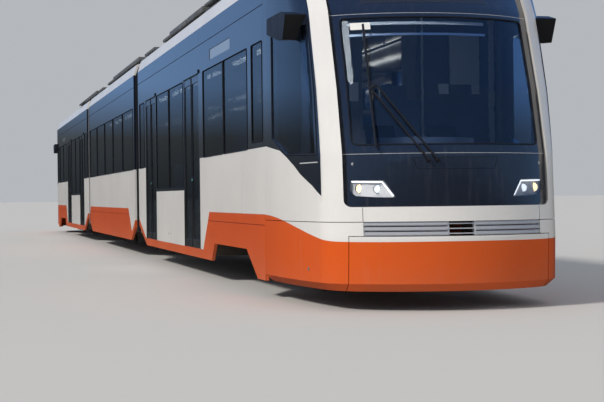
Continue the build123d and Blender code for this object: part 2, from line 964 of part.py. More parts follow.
def end_frame(x, side):
    """side is 1 where the frame stands ahead of x."""
    faces = sorted((x, x + side * end_frame_depth))
    return gangway_ring(faces[0], faces[1], end_frame_inset, end_frame_width)


# Bogies: an H-shaped frame on rubber springs over its axle boxes, air springs, motors and track brakes
half_base = wheelbase / 2
beam_y = (760, 880)
beam_middle = (beam_y[0] + beam_y[1]) / 2
transom_half = 230
transom_z = (400, 500)
hub_radius = 150
hub_top = 740
box_radius = 105
box_y = (745, 905)
box_seat_half = 80
spring_low = axle_height + box_radius
spring_high = 560
guide_gap = 8
guide_wall = 30
motor_x = 470
motor_z = 450
motor_radius = 150
motor_half = 285
gear_y = (300, 395)
gear_radius = 148
gear_gap = 3
brake_y = (500, 560)
brake_z = (40, 110)
brake_half = 560
hanger_x = 350

# The front half of a side beam; columns: distance from the bogie's centre, height
beam_edge = [
    (0, 390),
    (400, 390),
    (half_base - 180, spring_high),
    (half_base + 200, spring_high),
    (half_base + 200, 640),
    (half_base - 240, 650),
    (380, 500),
    (0, 500),
]

# Half of an air spring's section; columns: radius, height
air_spring_edge = [(0, 500), (140, 500), (150, 560), (132, 627), (150, 690), (120, 755), (0, 755)]


def across(x, z, y, radius):
    """A round bar across the tram, between two y."""
    return Pos(x, (y[0] + y[1]) / 2, z) * Rot(90, 0, 0) * Cylinder(radius, abs(y[1] - y[0]))


def bogie_frame():
    """Two side beams with axle box guides, a transom and the hub for the centre pin."""
    edge = beam_edge[1:-1]
    outline = edge + [(-x, z) for x, z in reversed(edge)]
    frame = block((-transom_half, transom_half), (-beam_y[0], beam_y[0]), transom_z)
    frame += upright(0, hub_radius, (transom_z[0], hub_top))
    for side in (1, -1):
        faces = sorted((side * beam_y[0], side * beam_y[1]))
        frame += prism_y(outline, faces[0], faces[1])
        for end in (1, -1):
            for away in (1, -1):
                near = end * half_base + away * (box_radius + guide_gap)
                far = near + away * guide_wall
                guide_y = sorted((side * (beam_y[0] + 30), side * (beam_y[1] - 30)))
                frame += block(sorted((near, far)), guide_y, (420, 570))
    return frame - upright(0, pivot_radius + pin_clearance, (pivot_bottom - 10, hub_top + 10))


def axle_box(x, side):
    """A round housing over the journal, closed outside, with a flat seat for its spring."""
    box = across(x, axle_height, (side * box_y[0], side * box_y[1]), box_radius)
    seat_y = sorted((side * beam_y[0], side * beam_y[1]))
    box += block((x - box_seat_half, x + box_seat_half), seat_y, (axle_height, spring_low))
    return box - across(x, axle_height, (side * (box_y[0] - 10), side * (journal_end + 5)), journal_radius + pin_clearance)


def track_brake(side):
    """A magnetic bar above the rail, hung from the side beam."""
    faces = sorted((side * brake_y[0], side * brake_y[1]))
    brake = block((-brake_half, brake_half), faces, brake_z)
    for end in (1, -1):
        hanger = sorted((end * (hanger_x - 20), end * (hanger_x + 20)))
        brake += block(hanger, sorted((side * brake_y[0], side * (beam_y[0] + 40))), (brake_z[1] - 5, 150))
        brake += block(hanger, sorted((side * beam_y[0], side * (beam_y[0] + 40))), (brake_z[1] - 5, 390))
    return brake


def motor(end):
    """A motor on the transom, with a gear case that reaches round the axle."""
    x = end * motor_x
    piece = across(x, motor_z, (-motor_half, motor_half), motor_radius)
    piece += block(sorted((end * transom_half, x)), (-200, 200), (transom_z[0] + 10, transom_z[1] - 10))
    piece += across(x, motor_z, (motor_half, gear_y[1]), 120)
    piece += across(end * half_base, axle_height, gear_y, gear_radius)
    piece += block(sorted((x, end * half_base)), gear_y, (axle_height - 90, motor_z + 80))
    return piece - across(end * half_base, axle_height, (gear_y[0] - 10, gear_y[1] + 10), axle_radius + gear_gap)


def bogie(centre_x):
    pieces = [bogie_frame(), motor(1), motor(-1)]
    air_spring = revolve(Face(Wire.make_polygon([(radius, 0, z) for radius, z in air_spring_edge])), Axis.Z, 360)
    for side in (1, -1):
        pieces.append(Pos(0, side * beam_middle, 0) * air_spring)
        pieces.append(track_brake(side))
        for end in (1, -1):
            pieces.append(axle_box(end * half_base, side))
            pieces.append(upright(end * half_base, 75, (spring_low, spring_high), side * beam_middle))
    return [Pos(centre_x, 0, 0) * piece for piece in pieces]


def wheelset(axle_x):
    """Both wheels on their axle, each pushed on against a collar."""
    inner = back_to_back / 2
    flange_face = inner + flange_width
    outer = flange_face + tread_width
    hub = (inner - 20, outer - 10)
    bore = wheel_seat_radius + press_gap
    wheel = revolved(
        [
            (hub[0], bore),
            (hub[0], 135),
            (inner + 40, 145),
            (inner + 45, 300),
            (inner, 315),
            (inner, flange_radius - 12),
            (inner + 10, flange_radius),
            (flange_face - 12, flange_radius - 4),
            (flange_face, tread_radius),
            (outer, tread_radius - 5),
            (outer, 310),
            (inner + 75, 295),
            (inner + 80, 135),
            (hub[1], 125),
            (hub[1], bore),
        ]
    )
    half_axle = revolved(
        [
            (0, 0),
            (0, axle_radius),
            (hub[0] - 38, axle_radius),
            (hub[0] - 22, collar_radius),
            (hub[0], collar_radius),
            (hub[0], wheel_seat_radius),
            (hub[1], wheel_seat_radius),
            (hub[1], journal_radius),
            (journal_end, journal_radius),
            (journal_end, 0),
        ]
    )
    pieces = [wheel, mirror(wheel, about=Plane.XZ), half_axle + mirror(half_axle, about=Plane.XZ)]
    return [Pos(axle_x, 0, axle_height) * piece for piece in pieces]


# Pantograph, folded on the front car's roof; both arms are as long as each other
pantograph_foot = back(5600)
arm_length = 1900
arm_height = 3580
arm_fold = 60


def cross_tube(x, z, y_half, radius):
    return Pos(x, 0, z) * Rot(90, 0, 0) * Cylinder(radius, 2 * y_half)


knee_x = pantograph_foot + arm_length
knee_z = arm_height + arm_fold
tip_z = knee_z + arm_fold


def pantograph_lower():
    arm = rod((pantograph_foot, 0, arm_height), (knee_x, 0, knee_z), 40)
    arm += cross_tube(pantograph_foot, arm_height, 150, 55)
    arm += cross_tube(pantograph_foot, arm_height, 200, 30)
    arm += cross_tube(knee_x, knee_z, 60, 45)
    return [arm - cross_tube(knee_x, knee_z, 70, 20 + pin_clearance)]


def pantograph_upper():
    piece = cross_tube(knee_x, knee_z, 110, 20) + cross_tube(pantograph_foot, tip_z, 360, 22)
    for side in (1, -1):
        piece += rod((knee_x, side * 90, knee_z), (pantograph_foot, side * 260, tip_z), 22)
        piece += Pos(knee_x, side * 90, knee_z) * Rot(90, 0, 0) * Cylinder(45, 40)
    return [piece]


def pantograph_head():
    strip_z = tip_z + 45
    x = pantograph_foot
    frame = None
    for offset in (-170, 170):
        strip = block((x + offset - 20, x + offset + 20), (-520, 520), (strip_z, strip_z + 30))
        for side in (1, -1):
            strip += rod((x + offset, side * 510, strip_z + 15), (x + offset, side * 780, strip_z - 90), 14)
        frame = strip if frame is None else frame + strip
    for side in (1, -1):
        faces = sorted((side * 320, side * 350))
        frame += block((x - 180, x + 180), faces, (strip_z - 10, strip_z + 20))
        frame += block((x - 40, x + 40), faces, (tip_z - 40, strip_z + 10))
    return [frame - cross_tube(x, tip_z, 400, 22 + pin_clearance)]


def pantograph_base():
    x = pantograph_foot
    low = roof_edge + 60
    frame = block((x - 300, x + 1900), (-420, -360), (low, low + 50))
    frame += block((x - 300, x + 1900), (360, 420), (low, low + 50))
    frame += block((x - 60, x + 60), (-360, 360), (low, low + 40))
    frame += block((x + 1800, x + 1900), (-360, 360), (low, low + 50))
    for side in (1, -1):
        frame += block((x - 50, x + 50), sorted((side * 155, side * 195)), (low, arm_height + 60))
        for dx in (-200, 1800):
            frame += Pos(x + dx, side * 390, roof_edge) * Cylinder(
                45, 80, align=(Align.CENTER, Align.CENTER, Align.MIN)
            )
    return frame - cross_tube(x, arm_height, 210, 30 + pin_clearance)


# Roof units; columns: first and last distance back, half width, height, fans
end_car_units = [
    (6300, 8300, 900, 300, 2),
    (8450, 9950, 900, 260, 0),
    (10050, 11850, 900, 260, 0),
    (12000, 13050, 850, 290, 1),
]
middle_car_units = [
    (-4300, -2900, 850, 290, 1),
    (-2500, 2400, 900, 260, 3),
    (2900, 4300, 850, 290, 1),
]


unit_corner = 90
louvre_pitch = 60
louvre_height = 26
louvre_depth = 18
louvre_margin = 220
fan_radius = 250
fan_rim = 22
fan_depth = 70
fan_hub = 70
fan_spoke = 18


def fan_well(x, top):
    """What is cut away for a fan below the unit's top, less its hub and spokes."""
    well = upright(x, fan_radius, (top - fan_depth, top + 10)) - upright(x, fan_hub, (top - fan_depth, top - 12))
    for turn in (0, 60, 120):
        spoke = Rot(0, 0, turn) * Box(2 * fan_radius, fan_spoke, 30)
        well -= Pos(x, 0, top - 35) * spoke
    return well


def roof_unit(x, y_half, height, fans=0):
    """An equipment box with louvres in both sides and fans in its top."""
    top = roof_edge + height
    outline = [
        (-y_half, roof_edge),
        (-y_half, top - unit_corner),
        (-y_half + unit_corner, top),
        (y_half - unit_corner, top),
        (y_half, top - unit_corner),
        (y_half, roof_edge),
    ]
    unit = prism_x(outline, x[0], x[1])
    middle = (x[0] + x[1]) / 2
    for index in range(fans):
        fan_x = middle + (index - (fans - 1) / 2) * 3 * fan_radius
        rim = upright(fan_x, fan_radius + fan_rim, (top - 5, top + 25)) - upright(fan_x, fan_radius, (top, top + 30))
        unit = unit + rim - fan_well(fan_x, top)
    count = int((height - unit_corner - 40) / louvre_pitch)
    for side in (1, -1):
        faces = sorted((side * (y_half - louvre_depth), side * (y_half + 10)))
        for index in range(count):
            low = roof_edge + 30 + index * louvre_pitch
            unit -= block((x[0] + louvre_margin, middle - 60), faces, (low, low + louvre_height))
            unit -= block((middle + 60, x[1] - louvre_margin), faces, (low, low + louvre_height))
    return unit


def end_car_roof_units():
    return [
        roof_unit(along_end_car(first, last), y, height, fans) for first, last, y, height, fans in end_car_units
    ]


# The wiper; columns of each point: distance back, y, height
wiper_pivots = [(100, -263, 1330), (88, -184, 1330)]
wiper_hinges = [(395, -706, 1975), (385, -657, 2010)]
wiper_blade = [(640, -706, 2573), (245, -706, 1443)]
camera_pod_edge = [(1910, 2605), (1900, 2755), (1250, 2750), (1060, 2705), (1180, 2485), (1400, 2500)]
camera_pod_reach = 60


def cab_fittings():
    """The folding wiper and the camera pod above each cab side window."""
    pivots = [(back(distance), y, z) for distance, y, z in wiper_pivots]
    hinges = [(back(distance), y, z) for distance, y, z in wiper_hinges]
    blade = [(back(distance), y, z) for distance, y, z in wiper_blade]
    wiper = rod(blade[0], blade[1], 11) + rod(hinges[0], hinges[1], 14)
    wiper += rod(hinges[0], (hinges[0][0] - 40, hinges[0][1], hinges[0][2]), 10)
    for pivot, hinge in zip(pivots, hinges):
        wiper += rod(pivot, hinge, 10)
        wiper += rod(pivot, (pivot[0] - 90, pivot[1], pivot[2]), 16) - cab_body(mask_recess - soft_gap)
    pod_outline = [(back(distance), z) for distance, z in camera_pod_edge]
    pod = prism_y(pod_outline, half_width - 200, half_width + camera_pod_reach) - cab_body(-soft_gap)
    return [wiper, pod, mirror(pod, about=Plane.XZ)]


front_car_nodes = {
    "underframe": end_car_underframe(),
    "window_frames": end_car_frames() + cab_side_frames(),
    "side_panels": end_car_panels(),
    "skirts": end_car_skirts(),
    "cab_shell": [cab_shell()],
    "cab_mask": [mask()],
    "bumper_flap": [bumper_flap()],
    "grille": [grille()],
    "glass": end_car_glass() + cab_side_glass() + [windscreen()],
    "doors": end_car_doors(),
    "roof": end_car_roof(),
    "roof_units": end_car_roof_units(),
    "cab_fittings": cab_fittings() + headlamps(),
    "interior": end_car_interior(),
    "end_frame": [end_frame(car_end, -1)],
    "cab_door": cab_door(),
}

nodes = {}
for name, shapes in front_car_nodes.items():
    nodes["front_" + name] = solids_of(shapes)
    nodes["rear_" + name] = turned(shapes)
nodes["front_roof_units"] = solids_of(front_car_nodes["roof_units"] + [pantograph_base()])

nodes["middle_underframe"] = middle_car_underframe()
nodes["middle_window_frames"] = middle_car_sides()
nodes["middle_side_panels"] = middle_car_panels()
nodes["middle_skirts"] = middle_car_skirts()
nodes["middle_glass"] = middle_car_glass()
nodes["middle_roof"] = [car_roof(-middle_end, middle_end)]
nodes["middle_roof_units"] = [
    roof_unit((low, high), y, height, fans) for low, high, y, height, fans in middle_car_units
]
nodes["middle_interior"] = middle_car_interior()
nodes["middle_end_frames"] = [end_frame(middle_end, 1), end_frame(-middle_end, -1)]
nodes["front_bellows"] = [bellows()]
nodes["rear_bellows"] = turned(nodes["front_bellows"])

# columns: name, centre
bogie_table = [
    ("front", end_bogie_x),
    ("middle_front", middle_bogie_from_centre),
    ("middle_rear", -middle_bogie_from_centre),
    ("rear", -end_bogie_x),
]
for name, centre in bogie_table:
    nodes[name + "_bogie"] = bogie(centre)
    nodes[name + "_bogie_wheelset_1"] = wheelset(centre + half_base)
    nodes[name + "_bogie_wheelset_2"] = wheelset(centre - half_base)

nodes["pantograph_lower_arm"] = pantograph_lower()
nodes["pantograph_upper_arm"] = pantograph_upper()
nodes["pantograph_head"] = pantograph_head()

os.makedirs("parts", exist_ok=True)
for name, shapes in nodes.items():
    export_step(Compound(children=solids_of(shapes)), "parts/" + name + ".step")
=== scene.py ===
import bpy
import math
from mathutils import Matrix, Vector
from mathutils.bvhtree import BVHTree
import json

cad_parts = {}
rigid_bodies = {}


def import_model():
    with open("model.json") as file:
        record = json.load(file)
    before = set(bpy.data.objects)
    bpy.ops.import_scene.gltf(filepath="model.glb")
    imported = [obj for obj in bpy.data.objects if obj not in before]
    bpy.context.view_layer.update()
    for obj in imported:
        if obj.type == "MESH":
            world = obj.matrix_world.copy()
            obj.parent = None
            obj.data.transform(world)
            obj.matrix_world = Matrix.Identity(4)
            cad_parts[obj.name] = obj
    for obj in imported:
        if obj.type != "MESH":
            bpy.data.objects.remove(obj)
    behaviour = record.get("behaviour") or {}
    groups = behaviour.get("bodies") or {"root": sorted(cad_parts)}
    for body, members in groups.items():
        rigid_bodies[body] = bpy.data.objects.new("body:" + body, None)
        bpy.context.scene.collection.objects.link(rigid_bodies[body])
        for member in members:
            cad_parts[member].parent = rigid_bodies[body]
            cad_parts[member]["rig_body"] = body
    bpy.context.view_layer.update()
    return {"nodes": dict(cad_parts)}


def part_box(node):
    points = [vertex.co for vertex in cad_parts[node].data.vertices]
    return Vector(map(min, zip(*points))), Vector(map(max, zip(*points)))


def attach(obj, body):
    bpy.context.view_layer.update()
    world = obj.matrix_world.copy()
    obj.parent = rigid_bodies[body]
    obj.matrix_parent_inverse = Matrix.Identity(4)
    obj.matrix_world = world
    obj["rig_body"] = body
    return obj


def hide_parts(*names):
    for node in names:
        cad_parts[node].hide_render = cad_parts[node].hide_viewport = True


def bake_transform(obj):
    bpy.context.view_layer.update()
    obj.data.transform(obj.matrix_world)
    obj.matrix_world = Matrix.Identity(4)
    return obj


# An articulated tram in white and orange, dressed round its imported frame. Metres, x forward, y left, z up.

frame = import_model()
nodes = frame["nodes"]
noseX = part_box("front_bumper_flap")[1].x
halfTurn = Matrix.Rotation(math.pi, 4, "Z")


# Small tools that every piece uses

def deselectAll():
    if bpy.context.mode != "OBJECT":
        bpy.ops.object.mode_set(mode="OBJECT")
    bpy.ops.object.select_all(action="DESELECT")
    bpy.context.view_layer.objects.active = None


def pick(*pieces):
    deselectAll()
    for piece in pieces:
        piece.select_set(True)
    bpy.context.view_layer.objects.active = pieces[0]


def settle(piece):
    # the piece's place goes into its mesh
    pick(piece)
    bpy.ops.object.transform_apply(location=True, rotation=True, scale=True)
    return piece


def startEdit():
    bpy.ops.object.mode_set(mode="EDIT")
    bpy.ops.mesh.select_all(action="SELECT")


def endEdit():
    bpy.ops.object.mode_set(mode="OBJECT")


def addBox(name, low, high):
    deselectAll()
    middle = [(a + b) / 2 for a, b in zip(low, high)]
    bpy.ops.mesh.primitive_cube_add(size=1, location=middle)
    piece = bpy.context.object
    piece.name = name
    piece.scale = [b - a for a, b in zip(low, high)]
    return settle(piece)


def addRound(name, place, radius, length, axis="z", sides=32):
    turns = {"x": (0, math.pi / 2, 0), "y": (math.pi / 2, 0, 0), "z": (0, 0, 0)}
    deselectAll()
    bpy.ops.mesh.primitive_cylinder_add(
        vertices=sides, radius=radius, depth=length, location=place, rotation=turns[axis]
    )
    piece = bpy.context.object
    piece.name = name
    return settle(piece)


def addTube(name, points, radius, closed=False, sides=3):
    # a round bar along points, ended flat
    curve = bpy.data.curves.new(name, "CURVE")
    curve.dimensions = "3D"
    curve.bevel_depth = radius
    curve.bevel_resolution = sides
    curve.use_fill_caps = not closed
    spline = curve.splines.new("POLY")
    spline.points.add(len(points) - 1)
    for point, place in zip(spline.points, points):
        point.co = (*place, 1)
    spline.use_cyclic_u = closed
    piece = bpy.data.objects.new(name, curve)
    bpy.context.scene.collection.objects.link(piece)
    pick(piece)
    bpy.ops.object.convert(target="MESH")
    return bpy.context.object


def addOutline(name, points, depth, axis="x"):
    # a closed plate with this outline in the plane across axis; depth is along the axis from 0
    deselectAll()
    bpy.ops.mesh.primitive_circle_add(vertices=len(points), fill_type="NGON")
    piece = bpy.context.object
    piece.name = name
    for vertex, (a, b) in zip(piece.data.vertices, points):
        vertex.co = {"x": (0, a, b), "y": (a, 0, b), "z": (a, b, 0)}[axis]
    move = {"x": (depth, 0, 0), "y": (0, depth, 0), "z": (0, 0, depth)}[axis]
    startEdit()
    bpy.ops.mesh.extrude_region_move(TRANSFORM_OT_translate={"value": move})
    bpy.ops.mesh.select_all(action="SELECT")
    bpy.ops.mesh.normals_make_consistent(inside=False)
    endEdit()
    return piece


def modify(piece, kind, **settings):
    pick(piece)
    modifier = piece.modifiers.new(kind.title(), kind)
    for key, value in settings.items():
        setattr(modifier, key, value)
    bpy.ops.object.modifier_apply(modifier=modifier.name)
    return piece


def smooth(piece, angle=40):
    pick(piece)
    bpy.ops.object.shade_smooth_by_angle(angle=math.radians(angle))
    return piece


def bevel(piece, width, segments, angle):
    limit = math.radians(angle)
    modify(piece, "BEVEL", width=width, segments=segments, limit_method="ANGLE", angle_limit=limit)


def soften(piece, width, segments=2, angle=30):
    bevel(piece, width, segments, angle)
    return smooth(piece, angle)


def join(name, pieces):
    pick(*pieces)
    if len(pieces) > 1:
        bpy.ops.object.join()
    piece = bpy.context.object
    piece.name = name
    return piece


def copyOf(piece, name, matrix):
    pick(piece)
    bpy.ops.object.duplicate()
    made = bpy.context.object
    made.name = name
    made.data.transform(matrix)
    if matrix.determinant() < 0:
        made.data.flip_normals()
    return made


def copyAt(piece, name, place):
    return copyOf(piece, name, Matrix.Translation(place))


def mirrorY(piece, name):
    return copyOf(piece, name, Matrix.Scale(-1, 4, (0, 1, 0)))


def finishPiece(piece, material, body, replaces=()):
    piece.data.materials.clear()
    piece.data.materials.append(material)
    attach(piece, body)
    if replaces:
        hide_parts(*replaces)


def bothEnds(piece, name, material):
    # the front car's piece, and the same piece turned round for the rear car
    other = copyOf(piece, "rear_" + name, halfTurn)
    piece.name = "front_" + name
    finishPiece(piece, material, "front_car")
    finishPiece(other, material, "rear_car")


def fourTimes(piece, name, material):
    # left and right, front and rear
    other = mirrorY(piece, name)
    bothEnds(piece, name + "Left", material)
    bothEnds(other, name + "Right", material)


hands = ((1, "Left"), (-1, "Right"))


def setOnSide(piece, place, side):
    # moved to its place, and mirrored for the right side
    piece.data.transform(Matrix.Translation(place) @ Matrix.Scale(side, 4, (0, 1, 0)))
    if side < 0:
        piece.data.flip_normals()
    return piece


# Camera at the photograph's viewing angle, fitted to the tram's edges

view = {
    "place": (30.991, -4.278, 1.023),
    "turn": (12.859, -0.175, -0.663),  # yaw, pitch and roll in degrees
    "lens": 89.4,
    "sensor": 36,
    "reach": (0.1, 1000),
}


def addCamera():
    yaw, pitch, roll = (math.radians(angle) for angle in view["turn"])
    ahead = Vector((-math.cos(yaw) * math.cos(pitch), math.sin(yaw) * math.cos(pitch), math.sin(pitch)))
    right = Vector((math.sin(yaw), math.cos(yaw), 0))
    up = right.cross(ahead)
    turnedRight = math.cos(roll) * right + math.sin(roll) * up
    turnedUp = -math.sin(roll) * right + math.cos(roll) * up
    data = bpy.data.cameras.new("camera")
    data.sensor_width = view["sensor"]
    data.lens = view["lens"]
    data.clip_start, data.clip_end = view["reach"]
    camera = bpy.data.objects.new("camera", data)
    bpy.context.scene.collection.objects.link(camera)
    axes = Matrix((turnedRight, turnedUp, -ahead)).transposed().to_4x4()
    camera.matrix_world = Matrix.Translation(view["place"]) @ axes
    bpy.context.scene.camera = camera


# Small tools for shader trees

def newGroup(name, inputs, outputs):
    # every socket is a number; inputs gives each one its usual value
    group = bpy.data.node_groups.new(name, "ShaderNodeTree")
    for label, value in inputs.items():
        socket = group.interface.new_socket(label, in_out="INPUT", socket_type="NodeSocketFloat")
        socket.default_value = value
    for label in outputs:
        group.interface.new_socket(label, in_out="OUTPUT", socket_type="NodeSocketFloat")
    return group, group.nodes.new("NodeGroupInput"), group.nodes.new("NodeGroupOutput")


def addNode(tree, kind, **values):
    node = tree.nodes.new(kind)
    for key, value in values.items():
        setattr(node, key, value)
    return node


def link(tree, source, target):
    tree.links.new(source, target)


def addMath(tree, operation, first, second=0.0, third=None):
    node = addNode(tree, "ShaderNodeMath", operation=operation)
    for index, value in enumerate((first, second, third)):
        if value is None:
            continue
        if isinstance(value, (int, float)):
            node.inputs[index].default_value = value
        else:
            link(tree, value, node.inputs[index])
    return node.outputs[0]


def objectPlace(tree):
    return addNode(tree, "ShaderNodeTexCoord").outputs["Object"]


def separate(tree, vector):
    node = addNode(tree, "ShaderNodeSeparateXYZ")
    link(tree, vector, node.inputs[0])
    return node.outputs


def addVoronoi(tree, vector, scale, randomness=1.0):
    node = addNode(tree, "ShaderNodeTexVoronoi")
    node.inputs["Scale"].default_value = scale
    node.inputs["Randomness"].default_value = randomness
    link(tree, vector, node.inputs["Vector"])
    return node.outputs["Distance"]


def addNoise(tree, vector, scale, detail=3.0, roughness=0.5):
    node = addNode(tree, "ShaderNodeTexNoise")
    if isinstance(scale, (int, float)):
        node.inputs["Scale"].default_value = scale
    else:
        link(tree, scale, node.inputs["Scale"])
    node.inputs["Detail"].default_value = detail
    node.inputs["Roughness"].default_value = roughness
    link(tree, vector, node.inputs["Vector"])
    return node.outputs["Fac"]


def addRange(tree, value, low, high, outLow=0.0, outHigh=1.0):
    node = addNode(tree, "ShaderNodeMapRange")
    node.inputs["From Min"].default_value = low
    node.inputs["From Max"].default_value = high
    node.inputs["To Min"].default_value = outLow
    node.inputs["To Max"].default_value = outHigh
    link(tree, value, node.inputs["Value"])
    return node.outputs["Result"]


def addMix(tree, share, first, second):
    node = addNode(tree, "ShaderNodeMix", data_type="RGBA")
    for index, value in ((0, share), (6, first), (7, second)):
        if isinstance(value, (int, float, tuple)):
            node.inputs[index].default_value = value
        else:
            link(tree, value, node.inputs[index])
    return node.outputs[2]


def stretch(tree, vector, scale):
    node = addNode(tree, "ShaderNodeMapping")
    node.inputs["Scale"].default_value = scale
    link(tree, vector, node.inputs["Vector"])
    return node.outputs["Vector"]


def newMaterial(name, **uniform):
    material = bpy.data.materials.new(name)
    material.use_nodes = True
    shader = material.node_tree.nodes["Principled BSDF"]
    for key, value in uniform.items():
        shader.inputs[key].default_value = value
    return material, material.node_tree, shader


# Studio: a pale floor, a pale surround and one soft sun

studio = {
    "floorHalf": 600,
    "floorColour": (0.60, 0.59, 0.57, 1),
    "surroundColour": (0.74, 0.77, 0.81, 1),
    "surroundStrength": 0.62,
    # what gloss mirrors; columns: sine of the height above the horizon, colour
    "mirroredSky": ((0.0, (0.028, 0.032, 0.034, 1)), (0.040, (0.055, 0.064, 0.070, 1)),
                    (0.075, (0.14, 0.25, 0.45, 1)), (0.5, (0.085, 0.20, 0.50, 1))),
    "hillsAhead": 0.16,
    "sunStrength": 2.5,
    "sunAngle": 8,
    "sunColour": (1.0, 0.95, 0.88),
    "sunFrom": (10, -22, 20),
    "view": "Standard",
}


def addStudio():
    deselectAll()
    bpy.ops.mesh.primitive_grid_add(x_subdivisions=4, y_subdivisions=4, size=2 * studio["floorHalf"])
    floor = bpy.context.object
    floor.name = "floor"
    material, tree, shader = newMaterial("floor", **{"Base Color": studio["floorColour"], "Roughness": 0.9})
    floor.data.materials.append(material)
    floor.visible_glossy = False

    # a plain pale surround lights the tram; gloss mirrors a dark horizon under a blue sky
    world = bpy.data.worlds.new("surround")
    world.use_nodes = True
    bpy.context.scene.world = world
    tree = world.node_tree
    background = tree.nodes["Background"]
    background.inputs["Color"].default_value = studio["surroundColour"]
    background.inputs["Strength"].default_value = studio["surroundStrength"]
    direction = separate(tree, addNode(tree, "ShaderNodeTexCoord").outputs["Generated"])
    forward = addMath(tree, "MAXIMUM", direction["X"])
    height = addMath(tree, "MULTIPLY_ADD", forward, -studio["hillsAhead"], direction["Z"])
    ramp = addNode(tree, "ShaderNodeValToRGB")
    link(tree, height, ramp.inputs["Fac"])
    elements = ramp.color_ramp.elements
    for index, (position, colour) in enumerate(studio["mirroredSky"]):
        element = elements[index] if index < 2 else elements.new(position)
        element.position = position
        element.color = colour
    mirrored = addNode(tree, "ShaderNodeBackground")
    link(tree, ramp.outputs["Color"], mirrored.inputs["Color"])
    mix = addNode(tree, "ShaderNodeMixShader")
    glossy = addNode(tree, "ShaderNodeLightPath").outputs["Is Glossy Ray"]
    for source, target in zip((glossy, background.outputs[0], mirrored.outputs[0]), mix.inputs):
        link(tree, source, target)
    link(tree, mix.outputs[0], tree.nodes["World Output"].inputs["Surface"])

    data = bpy.data.lights.new("sun", "SUN")
    data.energy = studio["sunStrength"]
    data.angle = math.radians(studio["sunAngle"])
    data.color = studio["sunColour"]
    sun = bpy.data.objects.new("sun", data)
    bpy.context.scene.collection.objects.link(sun)
    sun.rotation_mode = "QUATERNION"
    sun.rotation_quaternion = (-Vector(studio["sunFrom"])).to_track_quat("-Z", "Y")
    sun.visible_glossy = False
    bpy.context.scene.view_settings.view_transform = studio["view"]


addCamera()
addStudio()
print("camera and studio ready")


# Shared surface effects, each a node group

def makeRoadDust():
    # dust thrown up from the track, thickest near the bottom, and faint rain streaks below edges
    group, given, result = newGroup("roadDust", {"Top": 1.0, "Amount": 0.5}, ("Dust", "Streaks"))
    coordinates = objectPlace(group)
    low = addMath(group, "DIVIDE", separate(group, coordinates)["Z"], given.outputs["Top"])
    falling = addMath(group, "SUBTRACT", 1.0, low)
    falling = addMath(group, "MAXIMUM", falling, 0.0)
    falling = addMath(group, "POWER", falling, 1.8)
    clouds = addNoise(group, coordinates, 1.7, 6, 0.62)
    speckle = addNoise(group, coordinates, 46, 3, 0.6)
    speckled = addRange(group, speckle, 0.2, 0.75, 0.5, 1)
    patches = addMath(group, "MULTIPLY", addRange(group, clouds, 0.3, 0.7), speckled)
    dust = addMath(group, "MULTIPLY", falling, addRange(group, patches, 0, 1, 0.45, 1.1))
    dust = addMath(group, "MULTIPLY", dust, given.outputs["Amount"])
    link(group, dust, result.inputs["Dust"])
    streaked = stretch(group, coordinates, (14, 14, 0.5))
    streaks = addRange(group, addNoise(group, streaked, 1.6, 4, 0.6), 0.52, 0.78)
    streaks = addMath(group, "MULTIPLY", streaks, addRange(group, clouds, 0.35, 0.65))
    link(group, streaks, result.inputs["Streaks"])
    return group


def makeOrangePeel():
    # the faint waviness of sprayed paint and pressed panels
    group, given, result = newGroup("orangePeel", {"Waviness": 1.0}, ("Height",))
    coordinates = objectPlace(group)
    wide = addNoise(group, coordinates, 1.1, 2, 0.4)
    fine = addNoise(group, coordinates, 160, 2, 0.5)
    height = addMath(group, "MULTIPLY", wide, given.outputs["Waviness"])
    height = addMath(group, "MULTIPLY_ADD", fine, 0.02, height)
    link(group, height, result.inputs["Height"])
    return group


def makeGrime():
    # settled dirt and small colour changes on metal below the floor and on the roof
    group, given, result = newGroup("grime", {"Scale": 6.0}, ("Dirt", "Spots", "Height"))
    coordinates = objectPlace(group)
    clouds = addNoise(group, coordinates, given.outputs["Scale"], 8, 0.65)
    link(group, addRange(group, clouds, 0.35, 0.68), result.inputs["Dirt"])
    spots = addNoise(group, coordinates, 38, 5, 0.7)
    link(group, addRange(group, spots, 0.56, 0.72), result.inputs["Spots"])
    link(group, addNoise(group, coordinates, 90, 4, 0.6), result.inputs["Height"])
    return group


roadDust = makeRoadDust()
orangePeel = makeOrangePeel()
grime = makeGrime()


def useGroup(tree, group, **values):
    node = addNode(tree, "ShaderNodeGroup", node_tree=group)
    for key, value in values.items():
        node.inputs[key].default_value = value
    return node


def addBump(tree, shader, height, strength, distance):
    bump = addNode(tree, "ShaderNodeBump")
    bump.inputs["Strength"].default_value = strength
    bump.inputs["Distance"].default_value = distance
    link(tree, height, bump.inputs["Height"])
    link(tree, bump.outputs["Normal"], shader.inputs["Normal"])


dustColour = (0.30, 0.24, 0.17, 1)
streakColour = (0.34, 0.31, 0.27, 1)
rustColour = (0.10, 0.065, 0.04, 1)


